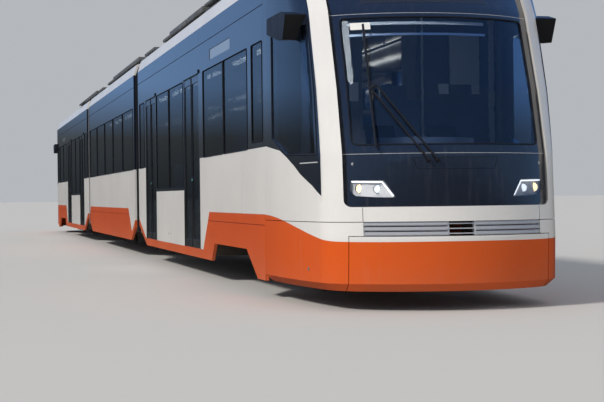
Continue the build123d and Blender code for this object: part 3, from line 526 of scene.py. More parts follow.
def paint(name, colour, darker, roughness, coat, dustTop, dustAmount, waviness=1.0, colourSocket=None):
    # sprayed vehicle paint: clear coat, slight colour drift, dust low down
    material, tree, shader = newMaterial(name, **{"Coat Roughness": 0.06, "IOR": 1.5})
    dust = useGroup(tree, roadDust, Top=dustTop, Amount=dustAmount)
    peel = useGroup(tree, orangePeel, Waviness=waviness)
    coordinates = objectPlace(tree)
    drift = addRange(tree, addNoise(tree, coordinates, 0.9, 4, 0.55), 0.35, 0.65)
    base = addMix(tree, drift, colour, darker)
    if colourSocket:
        base = colourSocket(tree, coordinates, base)
    base = addMix(tree, addMath(tree, "MULTIPLY", dust.outputs["Streaks"], 0.10), base, streakColour)
    base = addMix(tree, dust.outputs["Dust"], base, dustColour)
    link(tree, base, shader.inputs["Base Color"])
    rough = addMath(tree, "MULTIPLY_ADD", dust.outputs["Dust"], 0.5, roughness)
    rough = addMath(tree, "MULTIPLY_ADD", dust.outputs["Streaks"], 0.08, rough)
    link(tree, rough, shader.inputs["Roughness"])
    coating = addMath(tree, "SUBTRACT", coat, dust.outputs["Dust"])
    link(tree, addMath(tree, "MAXIMUM", coating, 0.0), shader.inputs["Coat Weight"])
    addBump(tree, shader, peel.outputs["Height"], 0.25, 0.004)
    return material


# The cab's orange sweep: its upper edge falls from the side to a level line round the nose
sweep = {
    # columns of the points: distance behind the nose, height
    "colour": (0.72, 0.100, 0.007, 1),
    "points": ((0.0, 0.617), (0.32, 0.617), (0.527, 0.625), (0.842, 0.669), (1.228, 0.732),
               (1.69, 0.799), (2.109, 0.835), (2.4, 0.845)),
}


def sweepMask(tree, coordinates):
    # 1 below the sweep's edge; the distance behind the nose is read on both cars at once
    split = separate(tree, coordinates)
    behind = addMath(tree, "SUBTRACT", noseX, addMath(tree, "ABSOLUTE", split["X"]))
    longest = sweep["points"][-1][0]
    curve = addNode(tree, "ShaderNodeFloatCurve")
    line = curve.mapping.curves[0]
    for index, (distance, height) in enumerate(sweep["points"]):
        if index == 0:
            line.points[0].location = (0, height)
        elif index == len(sweep["points"]) - 1:
            line.points[-1].location = (1, height)
        else:
            line.points.new(distance / longest, height)
    curve.mapping.update()
    link(tree, addMath(tree, "DIVIDE", behind, longest), curve.inputs["Value"])
    above = addMath(tree, "SUBTRACT", split["Z"], curve.outputs["Value"])
    return addRange(tree, above, -0.0015, 0.0015, 1, 0)


def sweepColour(tree, coordinates, base):
    return addMix(tree, sweepMask(tree, coordinates), base, sweep["colour"])


white = (0.80, 0.785, 0.765, 1)
whiteShade = (0.74, 0.73, 0.715, 1)
orange = sweep["colour"]
orangeShade = (0.66, 0.088, 0.006, 1)
navy = (0.012, 0.017, 0.030, 1)
navyShade = (0.009, 0.012, 0.022, 1)

# columns: name, colour, darker colour, roughness, coat, height that dust reaches, dust, waviness
whitePaint = paint("whitePaint", white, whiteShade, 0.32, 0.35, 0.9, 0.35)
orangePaint = paint("orangePaint", orange, orangeShade, 0.36, 0.3, 0.75, 0.5)
cabPaint = paint("cabPaint", white, whiteShade, 0.32, 0.4, 0.55, 0.35, 0.6, sweepColour)
bandPaint = paint("bandPaint", navy, navyShade, 0.10, 1.0, 1.2, 0.18, 0.5)
maskPaint = paint("maskPaint", navy, navyShade, 0.12, 1.0, 0.9, 0.10, 0.4)
doorPaint = paint("doorPaint", (0.016, 0.018, 0.024, 1), (0.012, 0.013, 0.017, 1), 0.22, 0.8, 1.2, 0.3)
endPostPaint = paint("endPostPaint", (0.30, 0.30, 0.31, 1), (0.25, 0.25, 0.26, 1), 0.4, 0.3, 1.5, 0.3)
# near black on the middle car's end frames is painted shade for the dark gap between the cars; the end cars'
# frames of the same kind are grey
paintedShadeBlack = paint("paintedShadeBlack", (0.022, 0.022, 0.024, 1), (0.018, 0.018, 0.019, 1), 0.5, 0.15, 1.5, 0.3)


def glassMaterial(name, colour, dustAmount):
    # coloured safety glass with faint wiped haze
    material, tree, shader = newMaterial(name, **{"Transmission Weight": 1.0, "IOR": 1.45})
    dust = useGroup(tree, roadDust, Top=3.2, Amount=dustAmount)
    base = addMix(tree, dust.outputs["Dust"], colour, (0.16, 0.15, 0.13, 1))
    link(tree, base, shader.inputs["Base Color"])
    link(tree, addMath(tree, "MULTIPLY", dust.outputs["Dust"], 0.25), shader.inputs["Roughness"])
    return material


# columns: name, colour, dust
glazing = glassMaterial("tintedGlass", (0.10, 0.13, 0.17, 1), 0.06)
cabGlazing = glassMaterial("cabGlass", (0.55, 0.64, 0.74, 1), 0.03)


def metal(name, colour, dirty, roughness, metallic, scale=6.0):
    # painted or bare metal below the floor and on the roof
    material, tree, shader = newMaterial(name)
    dirt = useGroup(tree, grime, Scale=scale)
    base = addMix(tree, dirt.outputs["Dirt"], colour, dirty)
    base = addMix(tree, addMath(tree, "MULTIPLY", dirt.outputs["Spots"], 0.5), base, rustColour)
    link(tree, base, shader.inputs["Base Color"])
    rough = addRange(tree, dirt.outputs["Dirt"], 0, 1, roughness, min(1, roughness + 0.3))
    link(tree, rough, shader.inputs["Roughness"])
    shine = addRange(tree, dirt.outputs["Dirt"], 0, 1, metallic, metallic * 0.4)
    link(tree, shine, shader.inputs["Metallic"])
    addBump(tree, shader, dirt.outputs["Height"], 0.5, 0.002)
    return material


# columns: name, colour, dirty colour, roughness, metallic, scale of the dirt
underSteel = metal("underSteel", (0.045, 0.045, 0.047, 1), (0.12, 0.095, 0.07, 1), 0.6, 0.1)
bogieSteel = metal("bogieSteel", (0.07, 0.07, 0.072, 1), (0.16, 0.12, 0.085, 1), 0.55, 0.2)
wheelSteel = metal("wheelSteel", (0.30, 0.29, 0.28, 1), (0.17, 0.12, 0.08, 1), 0.32, 0.9)
roofUnitPaint = metal("roofUnitPaint", (0.125, 0.130, 0.137, 1), (0.085, 0.085, 0.083, 1), 0.5, 0.0, 2.5)
pantographSteel = metal("pantographSteel", (0.42, 0.14, 0.10, 1), (0.25, 0.11, 0.08, 1), 0.45, 0.1)


def darkened(colour):
    return tuple(0.72 * channel for channel in colour[:3]) + (1,)


def brushedMetal(name, colour, roughness, metallic):
    material, tree, shader = newMaterial(name, Metallic=metallic)
    coordinates = objectPlace(tree)
    grain = addNoise(tree, stretch(tree, coordinates, (30, 2, 220)), 4, 3, 0.6)
    base = addMix(tree, grain, colour, darkened(colour))
    link(tree, base, shader.inputs["Base Color"])
    link(tree, addRange(tree, grain, 0.2, 0.8, roughness - 0.08, roughness + 0.1), shader.inputs["Roughness"])
    addBump(tree, shader, grain, 0.15, 0.0008)
    return material


grilleMetal = brushedMetal("grilleMetal", (0.80, 0.80, 0.81, 1), 0.38, 0.45)


def moulded(name, colour, roughness, grainScale=260):
    # grained plastic or rubber
    material, tree, shader = newMaterial(name)
    coordinates = objectPlace(tree)
    drift = addNoise(tree, coordinates, 2.3, 4, 0.6)
    base = addMix(tree, addRange(tree, drift, 0.3, 0.7, 0, 0.6), colour, darkened(colour))
    link(tree, base, shader.inputs["Base Color"])
    link(tree, addRange(tree, drift, 0.3, 0.7, roughness - 0.05, roughness + 0.1), shader.inputs["Roughness"])
    addBump(tree, shader, addVoronoi(tree, coordinates, grainScale), 0.2, 0.0006)
    return material


# columns: name, colour, roughness, scale of the grain
blackPlastic = moulded("blackPlastic", (0.018, 0.018, 0.020, 1), 0.42)
rubber = moulded("rubber", (0.014, 0.014, 0.015, 1), 0.62, 120)
greyPlastic = moulded("greyPlastic", (0.20, 0.205, 0.215, 1), 0.5)
seatShell = moulded("seatShell", (0.10, 0.13, 0.19, 1), 0.5)

# What each kind of node is finished in: material, the record's slot, and the width of its eased edges
finishes = {
    "underframe": (underSteel, "underframe_steel", 0),
    "window_frames": (bandPaint, "black_paint", 0),
    "side_panels": (whitePaint, "white_paint", 0.002),
    "skirts": (orangePaint, "orange_paint", 0.002),
    "cab_shell": (cabPaint, "white_paint", 0.002),
    "cab_mask": (maskPaint, "black_paint", 0),
    "bumper_flap": (cabPaint, "orange_paint", 0.002),
    "grille": (grilleMetal, "grille_metal", 0),
    "glass": (glazing, "cab_glass", 0),
    "doors": (doorPaint, "door_paint", 0.002),
    "roof": (cabPaint, "roof_paint", 0.003),
    "roof_units": (roofUnitPaint, "roof_unit_paint", 0.003),
    "cab_fittings": (blackPlastic, "fitting_plastic", 0),
    "interior": (seatShell, "interior_fabric", 0),
    "end_frame": (endPostPaint, "end_frame_paint", 0.003),
    # the middle car's end frames take the near black of painted shade
    "end_frames": (paintedShadeBlack, "end_frame_paint", 0.003),
    "cab_door": (greyPlastic, "white_paint", 0),
    "bogie": (bogieSteel, "bogie_steel", 0),
    "wheelset_1": (wheelSteel, "wheel_steel", 0),
    "wheelset_2": (wheelSteel, "wheel_steel", 0),
    "lower_arm": (pantographSteel, "pantograph_steel", 0),
    "upper_arm": (pantographSteel, "pantograph_steel", 0),
    "head": (pantographSteel, "pantograph_steel", 0),
}
skin = {"merge": 0.00002, "flat": 0.3, "edgeAngle": 50, "smoothAngle": 32}  # metres, then degrees
cabStart = noseX - 2.4


def finishOf(name):
    fitting = [ending for ending in finishes if name.endswith("_" + ending)]
    return finishes[max(fitting, key=len)]


def dress(name):
    # a merged copy with smooth curves and eased edges stands for the CAD node
    material, slot, edge = finishOf(name)
    source = nodes[name]
    piece = bpy.data.objects.new(name + "_skin", source.data.copy())
    bpy.context.scene.collection.objects.link(piece)
    pick(piece)
    if piece.data.has_custom_normals:
        bpy.ops.mesh.customdata_custom_splitnormals_clear()
    startEdit()
    bpy.ops.mesh.remove_doubles(threshold=skin["merge"])
    if edge:
        bpy.ops.mesh.dissolve_limited(angle_limit=math.radians(skin["flat"]))
    endEdit()
    if edge:
        bevel(piece, edge, 2, skin["edgeAngle"])
    smooth(piece, skin["smoothAngle"])
    if edge:
        modify(piece, "WEIGHTED_NORMAL", keep_sharp=True)
    finishPiece(piece, material, source["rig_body"], [name])
    if name.endswith("glass"):
        # light falls in through it, and the cab's panes are the clearer ones
        piece.visible_shadow = False
        piece.data.materials.append(cabGlazing)
        for face in piece.data.polygons:
            face.material_index = 1 if abs(face.center.x) > cabStart else 0


for name in nodes:
    if not name.endswith("bellows"):
        dress(name)
print("materials ready")


# Tools for turned, curved and trimmed pieces

def shift(piece, move):
    piece.data.transform(Matrix.Translation(move))
    return piece


def lathe(name, profile, place=(0, 0, 0), axis="x", steps=32):
    # a closed profile of (along, radius) points spun about the axis
    deselectAll()
    bpy.ops.mesh.primitive_circle_add(vertices=len(profile), fill_type="NOTHING")
    piece = bpy.context.object
    piece.name = name
    for vertex, (along, radius) in zip(piece.data.vertices, profile):
        vertex.co = {"x": (along, radius, 0), "y": (0, along, radius), "z": (radius, 0, along)}[axis]
    turn = {"x": (1, 0, 0), "y": (0, 1, 0), "z": (0, 0, 1)}[axis]
    startEdit()
    bpy.ops.mesh.spin(steps=steps, angle=math.tau, center=(0, 0, 0), axis=turn)
    bpy.ops.mesh.select_all(action="SELECT")
    bpy.ops.mesh.remove_doubles(threshold=skin["merge"])
    bpy.ops.mesh.normals_make_consistent(inside=False)
    endEdit()
    return smooth(shift(piece, place), 35)


def turned(name, radius, profile, place=(0, 0, 0), axis="y", steps=20):
    # a profile of (along, share of the radius)
    return lathe(name, [(along, radius * share) for along, share in profile], place, axis, steps)


def trim(piece, cutter):
    # keeps what lies inside the cutter
    modify(piece, "BOOLEAN", operation="INTERSECT", object=cutter, solver="EXACT")
    bpy.data.objects.remove(cutter)
    return piece


def roundedCorners(low, high, radius, steps=5):
    # a rectangle's outline with round corners, in two coordinates
    points = []
    corners = ((high[0], high[1]), (low[0], high[1]), (low[0], low[1]), (high[0], low[1]))
    for corner, start in zip(corners, (0, 90, 180, 270)):
        inside = [value - radius * (1 if value == top else -1) for value, top in zip(corner, high)]
        for step in range(steps + 1):
            angle = math.radians(start + 90 * step / steps)
            points.append((inside[0] + radius * math.cos(angle), inside[1] + radius * math.sin(angle)))
    return points


def surfaceOf(*names):
    # the faces of CAD nodes, to lay pieces on
    points, faces = [], []
    for name in names:
        mesh = nodes[name].data
        first = len(points)
        points += [vertex.co.copy() for vertex in mesh.vertices]
        faces += [[first + index for index in polygon.vertices] for polygon in mesh.polygons]
    return BVHTree.FromPolygons(points, faces)


def onSide(tree, x, z, side):
    # y of the surface as seen from that side
    return tree.ray_cast(Vector((x, side * 3, z)), Vector((0, -side, 0)))[0].y


# The nose's surface: a round plan that leans back in steps

nose = {
    # columns: height, distance back
    "levels": ((0.176, 0.1), (0.245, 0.025), (0.63, 0.0), (1.398, 0.075), (1.988, 0.245), (2.728, 0.54),
               (3.182, 0.85)),
    "radius": 1.486,
    "maskInset": 0.045,
}


def setBack(z):
    for (low, lowBack), (high, highBack) in zip(nose["levels"], nose["levels"][1:]):
        if z <= high:
            return lowBack + (z - low) / (high - low) * (highBack - lowBack)
    return nose["levels"][-1][1]


def noseFace(y, z, inset):
    return noseX - setBack(z) - nose["radius"] + math.sqrt((nose["radius"] - inset) ** 2 - y**2)


def noseSheet(name, outline, inset, thickness, cells=(28, 10)):
    # a plate that follows the nose; the outline is in (y, z)
    margin = 0.01
    low = [min(point[axis] for point in outline) - margin for axis in (0, 1)]
    high = [max(point[axis] for point in outline) + margin for axis in (0, 1)]
    deselectAll()
    bpy.ops.mesh.primitive_grid_add(x_subdivisions=cells[0], y_subdivisions=cells[1], size=1)
    sheet = bpy.context.object
    sheet.name = name
    for vertex in sheet.data.vertices:
        y = low[0] + (vertex.co.x + 0.5) * (high[0] - low[0])
        z = low[1] + (vertex.co.y + 0.5) * (high[1] - low[1])
        vertex.co = (noseFace(y, z, inset), y, z)
    modify(sheet, "SOLIDIFY", thickness=thickness, offset=-1)
    cutter = shift(addOutline(name + "Cutter", outline, 2.0), (noseX - 1.9, 0, 0))
    return smooth(trim(sheet, cutter), 30)


def noseLine(name, points, inset, radius, closed=False, pitch=0.07):
    # a thin round line along the nose through (y, z) points
    path = []
    following = list(points[1:]) + ([points[0]] if closed else [])
    for start, end in zip(points, following):
        count = max(1, round(math.dist(start, end) / pitch))
        for index in range(count):
            y, z = (a + (b - a) * index / count for a, b in zip(start, end))
            path.append((noseFace(y, z, inset), y, z))
    if not closed:
        path.append((noseFace(*points[-1], inset), *points[-1]))
    return addTube(name, path, radius, closed, sides=2)


def plain(name, colour, roughness, metallic=0.0, coat=0.0):
    # a clean finish with the slightest unevenness of gloss
    uniform = {"Metallic": metallic, "Coat Weight": coat, "Base Color": colour}
    material, tree, shader = newMaterial(name, **uniform)
    unevenness = addNoise(tree, objectPlace(tree), 9, 3, 0.6)
    gloss = addRange(tree, unevenness, 0.3, 0.7, roughness * 0.8, min(1, roughness * 1.25))
    link(tree, gloss, shader.inputs["Roughness"])
    return material


def glowing(name, colour, strength):
    uniform = {"Base Color": colour, "Emission Color": colour, "Emission Strength": strength}
    return newMaterial(name, Roughness=0.25, **uniform)[0]


# columns: name, colour, roughness, metallic, coat
chrome = plain("chrome", (0.82, 0.82, 0.83, 1), 0.10, 1.0)
aluminium = plain("aluminium", (0.62, 0.63, 0.64, 1), 0.34, 1.0)
paleGrey = plain("paleGrey", (0.50, 0.51, 0.52, 1), 0.45)
blankCard = plain("blankCard", (0.80, 0.80, 0.78, 1), 0.6)
copper = plain("copper", (0.62, 0.30, 0.15, 1), 0.35, 1.0)
stainless = plain("stainless", (0.66, 0.67, 0.68, 1), 0.2, 1.0)
redLens = plain("redLens", (0.45, 0.012, 0.010, 1), 0.08, 0.0, 1.0)
ceramic = plain("ceramic", (0.20, 0.085, 0.045, 1), 0.12, 0.0, 1.0)
# columns: name, colour, strength
lampWarm = glowing("lampWarm", (1.0, 0.72, 0.38, 1), 1.7)
lampCool = glowing("lampCool", (0.86, 0.93, 1.0, 1), 0.8)
lampLine = glowing("lampLine", (0.92, 0.96, 1.0, 1), 1.0)
tailLine = glowing("tailLine", (1.0, 0.03, 0.02, 1), 2.0)
saloonLight = glowing("saloonLight", (1.0, 0.93, 0.82, 1), 2.2)
buttonLight = glowing("buttonLight", (0.20, 0.85, 0.25, 1), 0.9)
clearLook = {"Transmission Weight": 1.0, "IOR": 1.3, "Roughness": 0.0, "Base Color": (0.97, 0.98, 1.0, 1)}
clearCover = newMaterial("clearCover", **clearLook)[0]
sideScreen = plain("sideScreen", (0.33, 0.37, 0.40, 1), 0.10, 0.0, 1.0)
screenGlass = plain("screenGlass", (0.010, 0.011, 0.013, 1), 0.08, 0.0, 1.0)


def matrixScreen():
    # an unlit display: a field of fine dots behind dark glass
    material, tree, shader = newMaterial("matrixScreen", **{"Coat Weight": 1.0, "Roughness": 0.3})
    spot = addRange(tree, addVoronoi(tree, objectPlace(tree), 90, 0.0), 0.25, 0.4, 1, 0)
    base = addMix(tree, spot, (0.012, 0.012, 0.014, 1), (0.060, 0.052, 0.036, 1))
    link(tree, base, shader.inputs["Base Color"])
    return material


screenDots = matrixScreen()
print("small materials ready")


# Headlamps: clear cover, satin liner, two turned lamps with bright rims and a line of light

headlamp = {
    "outline": ((0.545, 1.005), (0.64, 1.155), (0.90, 1.16), (0.905, 1.06), (0.86, 1.02), (0.70, 1.008)),
    "coverInset": 0.0465,
    "coverThickness": 0.0035,
    "linerInset": 0.0815,
    "linerThickness": 0.003,
    "lamps": ((0.815, 1.085, 0.042), (0.680, 1.080, 0.038)),  # distance from the middle, height, radius
    "faceSetBack": 0.058,
    # columns: along x, added to the lamp's radius
    "rim": ((-0.010, -0.008), (0.001, -0.006), (0.005, -0.002), (0.005, 0.002), (0.001, 0.004),
            (-0.010, 0.004)),
    "rimWidth": 0.007,
    # columns: along x, share of the radius inside the rim
    "dome": ((-0.019, 0), (-0.019, 1), (-0.006, 1), (-0.002, 0.85), (0.001, 0.6), (0.003, 0.3), (0.0035, 0)),
    "line": ((0.885, 1.148), (0.648, 1.143), (0.562, 1.016)),
    "lineInset": 0.060,
    "lineRadius": 0.0065,
}


def lampX(y, radius):
    reach = math.sqrt((nose["radius"] - nose["maskInset"]) ** 2 - (y + radius) ** 2)
    return noseX - nose["radius"] + reach - headlamp["faceSetBack"]


def addHeadlamps(place, flip):
    # one cab's lamps; flip turns them round for the rear, where the line shows red
    def add(piece, name, material, slot, side, hand):
        setOnSide(piece, (0, 0, 0), side)
        if flip:
            piece.data.transform(halfTurn)
        piece.name = f"{place}_{hand.lower()}{name}"
        finishPiece(piece, material, place + "_car")

    outline = headlamp["outline"]
    for hand in hands:
        cover = noseSheet("cover", outline, headlamp["coverInset"], headlamp["coverThickness"], (20, 10))
        cover.visible_shadow = False
        add(cover, "LampCover", clearCover, "cab_glass", *hand)
        liner = noseSheet("liner", outline, headlamp["linerInset"], headlamp["linerThickness"], (20, 10))
        add(liner, "LampLiner", greyPlastic if flip else paleGrey, "fitting_plastic", *hand)
        for index, (y, z, radius) in enumerate(headlamp["lamps"]):
            centre = (lampX(y, radius), y, z)
            rim = lathe("rim", [(along, radius + more) for along, more in headlamp["rim"]], centre)
            add(rim, f"LampRim{index}", chrome, "grille_metal", *hand)
            dome = turned("dome", radius - headlamp["rimWidth"], headlamp["dome"], centre, "x", 28)
            glow = (redLens, paleGrey)[index] if flip else (lampWarm, lampCool)[index]
            add(dome, f"Lamp{index}", glow, "cab_glass", *hand)
        line = noseLine("line", headlamp["line"], headlamp["lineInset"], headlamp["lineRadius"], pitch=0.03)
        add(smooth(line), "LampLine", tailLine if flip else lampLine, "cab_glass", *hand)


addHeadlamps("front", False)
addHeadlamps("rear", True)
print("headlamps ready")


# Trim of the mask: windscreen gasket, panel joints, wiper recess, sensors and the blank display

maskTrim = {
    "screen": ((-0.874, 1.472), (0.874, 2.641)),
    "screenCorner": 0.045,
    "lineInset": 0.046,
    "gasketRadius": 0.008,
    "jointHeights": (1.392, 2.678),
    "jointRadius": 0.0028,
    "jointHalf": 0.955,
    "recess": ((-0.39, 1.357), (0.39, 1.357), (0.36, 1.255), (-0.36, 1.255)),
    "recessRadius": 0.0032,
    "sheetInset": 0.0435,
    "sensorPlace": (0.876, 1.305),
    "sensorRadius": 0.013,
    # columns: along x, share of the radius
    "sensor": ((-0.012, 0), (-0.012, 1), (0.001, 1), (0.003, 0.8), (0.0015, 0.6), (0.003, 0.35), (0.003, 0)),
    "display": ((-0.68, 2.778), (0.50, 2.99)),
    "label": ((-0.794, 2.530), (-0.629, 2.596)),
    "labelInset": 0.050,
}


def addMaskTrim():
    inset, flush = maskTrim["lineInset"], maskTrim["sheetInset"]
    border = roundedCorners(*maskTrim["screen"], maskTrim["screenCorner"])
    gasket = noseLine("windscreenGasket", border, inset, maskTrim["gasketRadius"], True, 0.05)
    bothEnds(smooth(gasket), "windscreenGasket", rubber)
    half = maskTrim["jointHalf"]
    for index, z in enumerate(maskTrim["jointHeights"]):
        joint = noseLine("joint", ((-half, z), (half, z)), inset, maskTrim["jointRadius"])
        bothEnds(smooth(joint), f"maskJoint{index}", paleGrey)
    recess = noseLine("recess", maskTrim["recess"], inset, maskTrim["recessRadius"], True, 0.04)
    bothEnds(smooth(recess), "wiperRecess", rubber)
    outline = [(y * 0.985, z) for y, z in reversed(maskTrim["recess"])]
    panel = noseSheet("recessPanel", outline, flush, 0.003, (20, 4))
    bothEnds(panel, "wiperRecessPanel", maskPaint)
    y, z = maskTrim["sensorPlace"]
    x = noseFace(y, z, nose["maskInset"])
    for side, hand in hands:
        cap = turned("sensor", maskTrim["sensorRadius"], maskTrim["sensor"], (x, side * y, z), "x")
        bothEnds(cap, "sensor" + hand, paleGrey)
    screen = noseSheet("display", roundedCorners(*maskTrim["display"], 0.012, 3), flush, 0.002, (30, 6))
    bothEnds(screen, "noseDisplay", screenDots)
    outline = roundedCorners(*maskTrim["label"], 0.006, 3)
    label = noseSheet("label", outline, maskTrim["labelInset"], 0.0008, (8, 4))
    bothEnds(label, "blankLabel", blankCard)


addMaskTrim()
print("mask trim ready")


# Bellows between the cars: pleated coated fabric round the gangway

bellows = {
    "x": (4.688, 5.232),
    "half": 1.236,
    "z": (0.436, 3.325),
    "topCorner": 0.16,
    "bottomCorner": 0.07,
    "pleats": 11,
    "depth": 0.062,
    "thickness": 0.004,
    "edge": 0.003,
    "pinZ": 1.8,
}


def bellowsOutline():
    # (y, z, outward y, outward z) round the ring, evenly enough for round folds
    half = bellows["half"]
    low, high = bellows["z"]
    corners = (
        ((half, high), 0, bellows["topCorner"]),
        ((-half, high), 90, bellows["topCorner"]),
        ((-half, low), 180, bellows["bottomCorner"]),
        ((half, low), 270, bellows["bottomCorner"]),
    )
    points = []
    for (y, z), start, radius in corners:
        middleY = y - math.copysign(radius, y)
        middleZ = z - radius if z == high else z + radius
        for step in range(7):
            angle = math.radians(start + 15 * step)
            out = (math.cos(angle), math.sin(angle))
            points.append((middleY + radius * out[0], middleZ + radius * out[1], *out))
    return points


def addBellows():
    outline = bellowsOutline()
    firstX, lastX = bellows["x"]
    folds = 2 * bellows["pleats"]
    step = (lastX - firstX) / folds
    deselectAll()
    bpy.ops.mesh.primitive_circle_add(vertices=len(outline), fill_type="NOTHING")
    ring = bpy.context.object
    ring.name = "front_bellowsFabric"
    for vertex, (y, z, outY, outZ) in zip(ring.data.vertices, outline):
        vertex.co = (firstX, y, z)
    startEdit()
    for fold in range(folds):
        bpy.ops.mesh.extrude_region_move(TRANSFORM_OT_translate={"value": (step, 0, 0)})
    endEdit()
    outward = {(round(y, 4), round(z, 4)): (outY, outZ) for y, z, outY, outZ in outline}
    for vertex in ring.data.vertices:
        fold = round((vertex.co.x - firstX) / step)
        outY, outZ = outward[(round(vertex.co.y, 4), round(vertex.co.z, 4))]
        inward = bellows["depth"] if fold % 2 == 0 else 0.0
        vertex.co.y -= inward * outY
        vertex.co.z -= inward * outZ
    startEdit()
    bpy.ops.mesh.normals_make_consistent(inside=False)
    endEdit()
    modify(ring, "SOLIDIFY", thickness=bellows["thickness"], offset=-1)
    bevel(ring, bellows["edge"], 1, 50)
    smooth(ring, 60)
    rear = copyOf(ring, "rear_bellowsFabric", halfTurn)
    for place, piece in (("front", ring), ("rear", rear)):
        piece.data.materials.clear()
        piece.data.materials.append(rubber)
        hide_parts(place + "_bellows")
        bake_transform(piece)


addBellows()
print("bellows ready")


# Pieces of the cab's sides: window gasket, grey strip, small round fitting

cabSide = {
    "rearEdge": 2.019,
    "sillPoints": ((2.019, 1.594), (1.752, 1.503), (1.503, 1.416)),  # distance back, height
    "aheadSill": 1.396,
    "topHeight": 2.619,
    "aheadHalf": 1.128,
    "gasketRadius": 0.006,
    "strip": (1.118, 0.52, 1.329),  # first and last distance back, height
    "stripEnd": 1.122,
    "stripRadius": 0.006,
    "fitting": (0.936, 0.358, 0.019),  # distance back, height, radius
    "fittingShape": ((-0.012, 0), (-0.012, 1), (0.002, 1), (0.004, 0.75), (0.002, 0.6), (0.002, 0)),
}


def addCabSide():
    tree = surfaceOf("front_window_frames", "front_cab_shell", "front_glass", "front_bumper_flap")

    def ahead(y, z):
        return tree.ray_cast(Vector((noseX + 1, y, z)), Vector((-1, 0, 0)))[0].x

    def beside(distance, z):
        x = noseX - distance
        return (x, onSide(tree, x, z, 1), z)

    half, rear = cabSide["aheadHalf"], cabSide["rearEdge"]
    top, low = cabSide["topHeight"], cabSide["aheadSill"]
    rearSill = cabSide["sillPoints"][0][1]
    bendBack, bendSill = cabSide["sillPoints"][-1]
    path = [beside(rear, top + (rearSill - top) * step / 8) for step in range(9)]
    path += [beside(*point) for point in cabSide["sillPoints"][1:]]
    firstX = ahead(half, low)
    for share in (0.25, 0.5, 0.75):
        distance = bendBack * (1 - share) + (noseX - firstX) * share
        path.append(beside(distance, bendSill + (low - bendSill) * share))
    for step in range(13):
        z = low + (top - low) * step / 12
        path.append((ahead(half, z), half, z))
    lastX = path[-1][0]
    for share in (0.25, 0.5, 0.75):
        path.append(beside((noseX - lastX) * (1 - share) + rear * share, top))
    first, last, z = cabSide["strip"]
    line = [beside(first + (last - first) * step / 24, z) for step in range(25)]
    line = [place for place in line if place[1] > cabSide["stripEnd"]]
    distance, z, radius = cabSide["fitting"]
    fitting = beside(distance, z)
    for side, hand in hands:
        outline = [(x, side * y, z) for x, y, z in path]
        gasket = smooth(addTube("gasket", outline, cabSide["gasketRadius"], True, 2))
        bothEnds(gasket, "sideWindowGasket" + hand, rubber)
        raised = [(x, side * (y + 0.001), z) for x, y, z in line]
        strip = addTube("strip", raised, cabSide["stripRadius"], sides=2)
        bothEnds(smooth(strip), "sideStrip" + hand, paleGrey)
        x, y, z = fitting
        cap = setOnSide(turned("cap", radius, cabSide["fittingShape"]), (x, side * y, z), side)
        bothEnds(cap, "lowFitting" + hand, greyPlastic)


addCabSide()
print("cab sides ready")


# Driver's place: sun blind, frames and cards on the rear wall, screens on the desk

cabInside = {
    "blindCase": ((-0.80, 2.572), (0.44, 2.600)),
    "blindBar": ((-0.80, 2.470), (0.44, 2.492)),
    "blindInset": 0.085,
    "blindThickness": 0.02,
    "wallX": 16.116,
    "wallPanel": ((0.70, 2.165), (1.03, 2.675)),
    "thickness": {"panel": 0.03, "post": 0.02, "card": 0.004},
    "doorPost": (0.405, 0.013, 1.60, 2.90),  # y, half width, low, high
    "cornerPost": (1.165, 0.030, 1.55, 2.95),
    "cards": (((-0.375, 1.99), (-0.275, 2.185)), ((0.585, 2.07), (0.695, 2.175)),
              ((0.945, 2.07), (1.035, 2.17))),
    "screens": ((16.985, -0.33, 1.60), (16.985, 0.30, 1.60)),
    "screenSize": (0.29, 0.20),
    "screenEdge": 0.012,
    "screenHalf": 0.02,
    "screenGlass": (-0.0215, -0.0195),
    "screenForward": 0.12,
    "screenLean": 22,
}


def addCabInside():
    for key, material in (("blindCase", paleGrey), ("blindBar", aluminium)):
        low, high = cabInside[key]
        outline = roundedCorners(low, high, 0.009, 3)
        bar = noseSheet(key, outline, cabInside["blindInset"], cabInside["blindThickness"], (30, 3))
        bothEnds(bar, key, material)
    x = cabInside["wallX"]
    (lowY, lowZ), (highY, highZ) = cabInside["wallPanel"]
    thick = cabInside["thickness"]
    panel = soften(addBox("panel", (x, lowY, lowZ), (x + thick["panel"], highY, highZ)), 0.008, 3)
    bothEnds(panel, "cabWallPanel", paleGrey)
    for key in ("doorPost", "cornerPost"):
        y, half, low, high = cabInside[key]
        post = soften(addBox(key, (x, y - half, low), (x + thick["post"], y + half, high)), 0.006, 2)
        bothEnds(post, key, paleGrey)
    for index, ((lowY, lowZ), (highY, highZ)) in enumerate(cabInside["cards"]):
        card = soften(addBox("card", (x, lowY, lowZ), (x + thick["card"], highY, highZ)), 0.0015, 1)
        bothEnds(card, f"wallCard{index}", blankCard)
    halfX = cabInside["screenHalf"]
    front, back = cabInside["screenGlass"]
    halfY, halfZ = (size / 2 for size in cabInside["screenSize"])
    glassY, glassZ = (half - cabInside["screenEdge"] for half in (halfY, halfZ))
    lean = Matrix.Rotation(math.radians(-cabInside["screenLean"]), 4, "Y")
    for index, (x, y, z) in enumerate(cabInside["screens"]):
        case = soften(addBox("case", (-halfX, -halfY, -halfZ), (halfX, halfY, halfZ)), 0.008, 3)
        glass = addBox("glass", (front, -glassY, -glassZ), (back, glassY, glassZ))
        place = Matrix.Translation((x + cabInside["screenForward"], y, z)) @ lean
        case.data.transform(place)
        glass.data.transform(place)
        bothEnds(case, f"deskScreenCase{index}", blackPlastic)
        bothEnds(soften(glass, 0.0008, 1), f"deskScreen{index}", screenGlass)


addCabInside()
print("cab inside ready")


# Sides: closing rubbers, thresholds and request buttons of the doors, displays, hatch locks, window gaskets

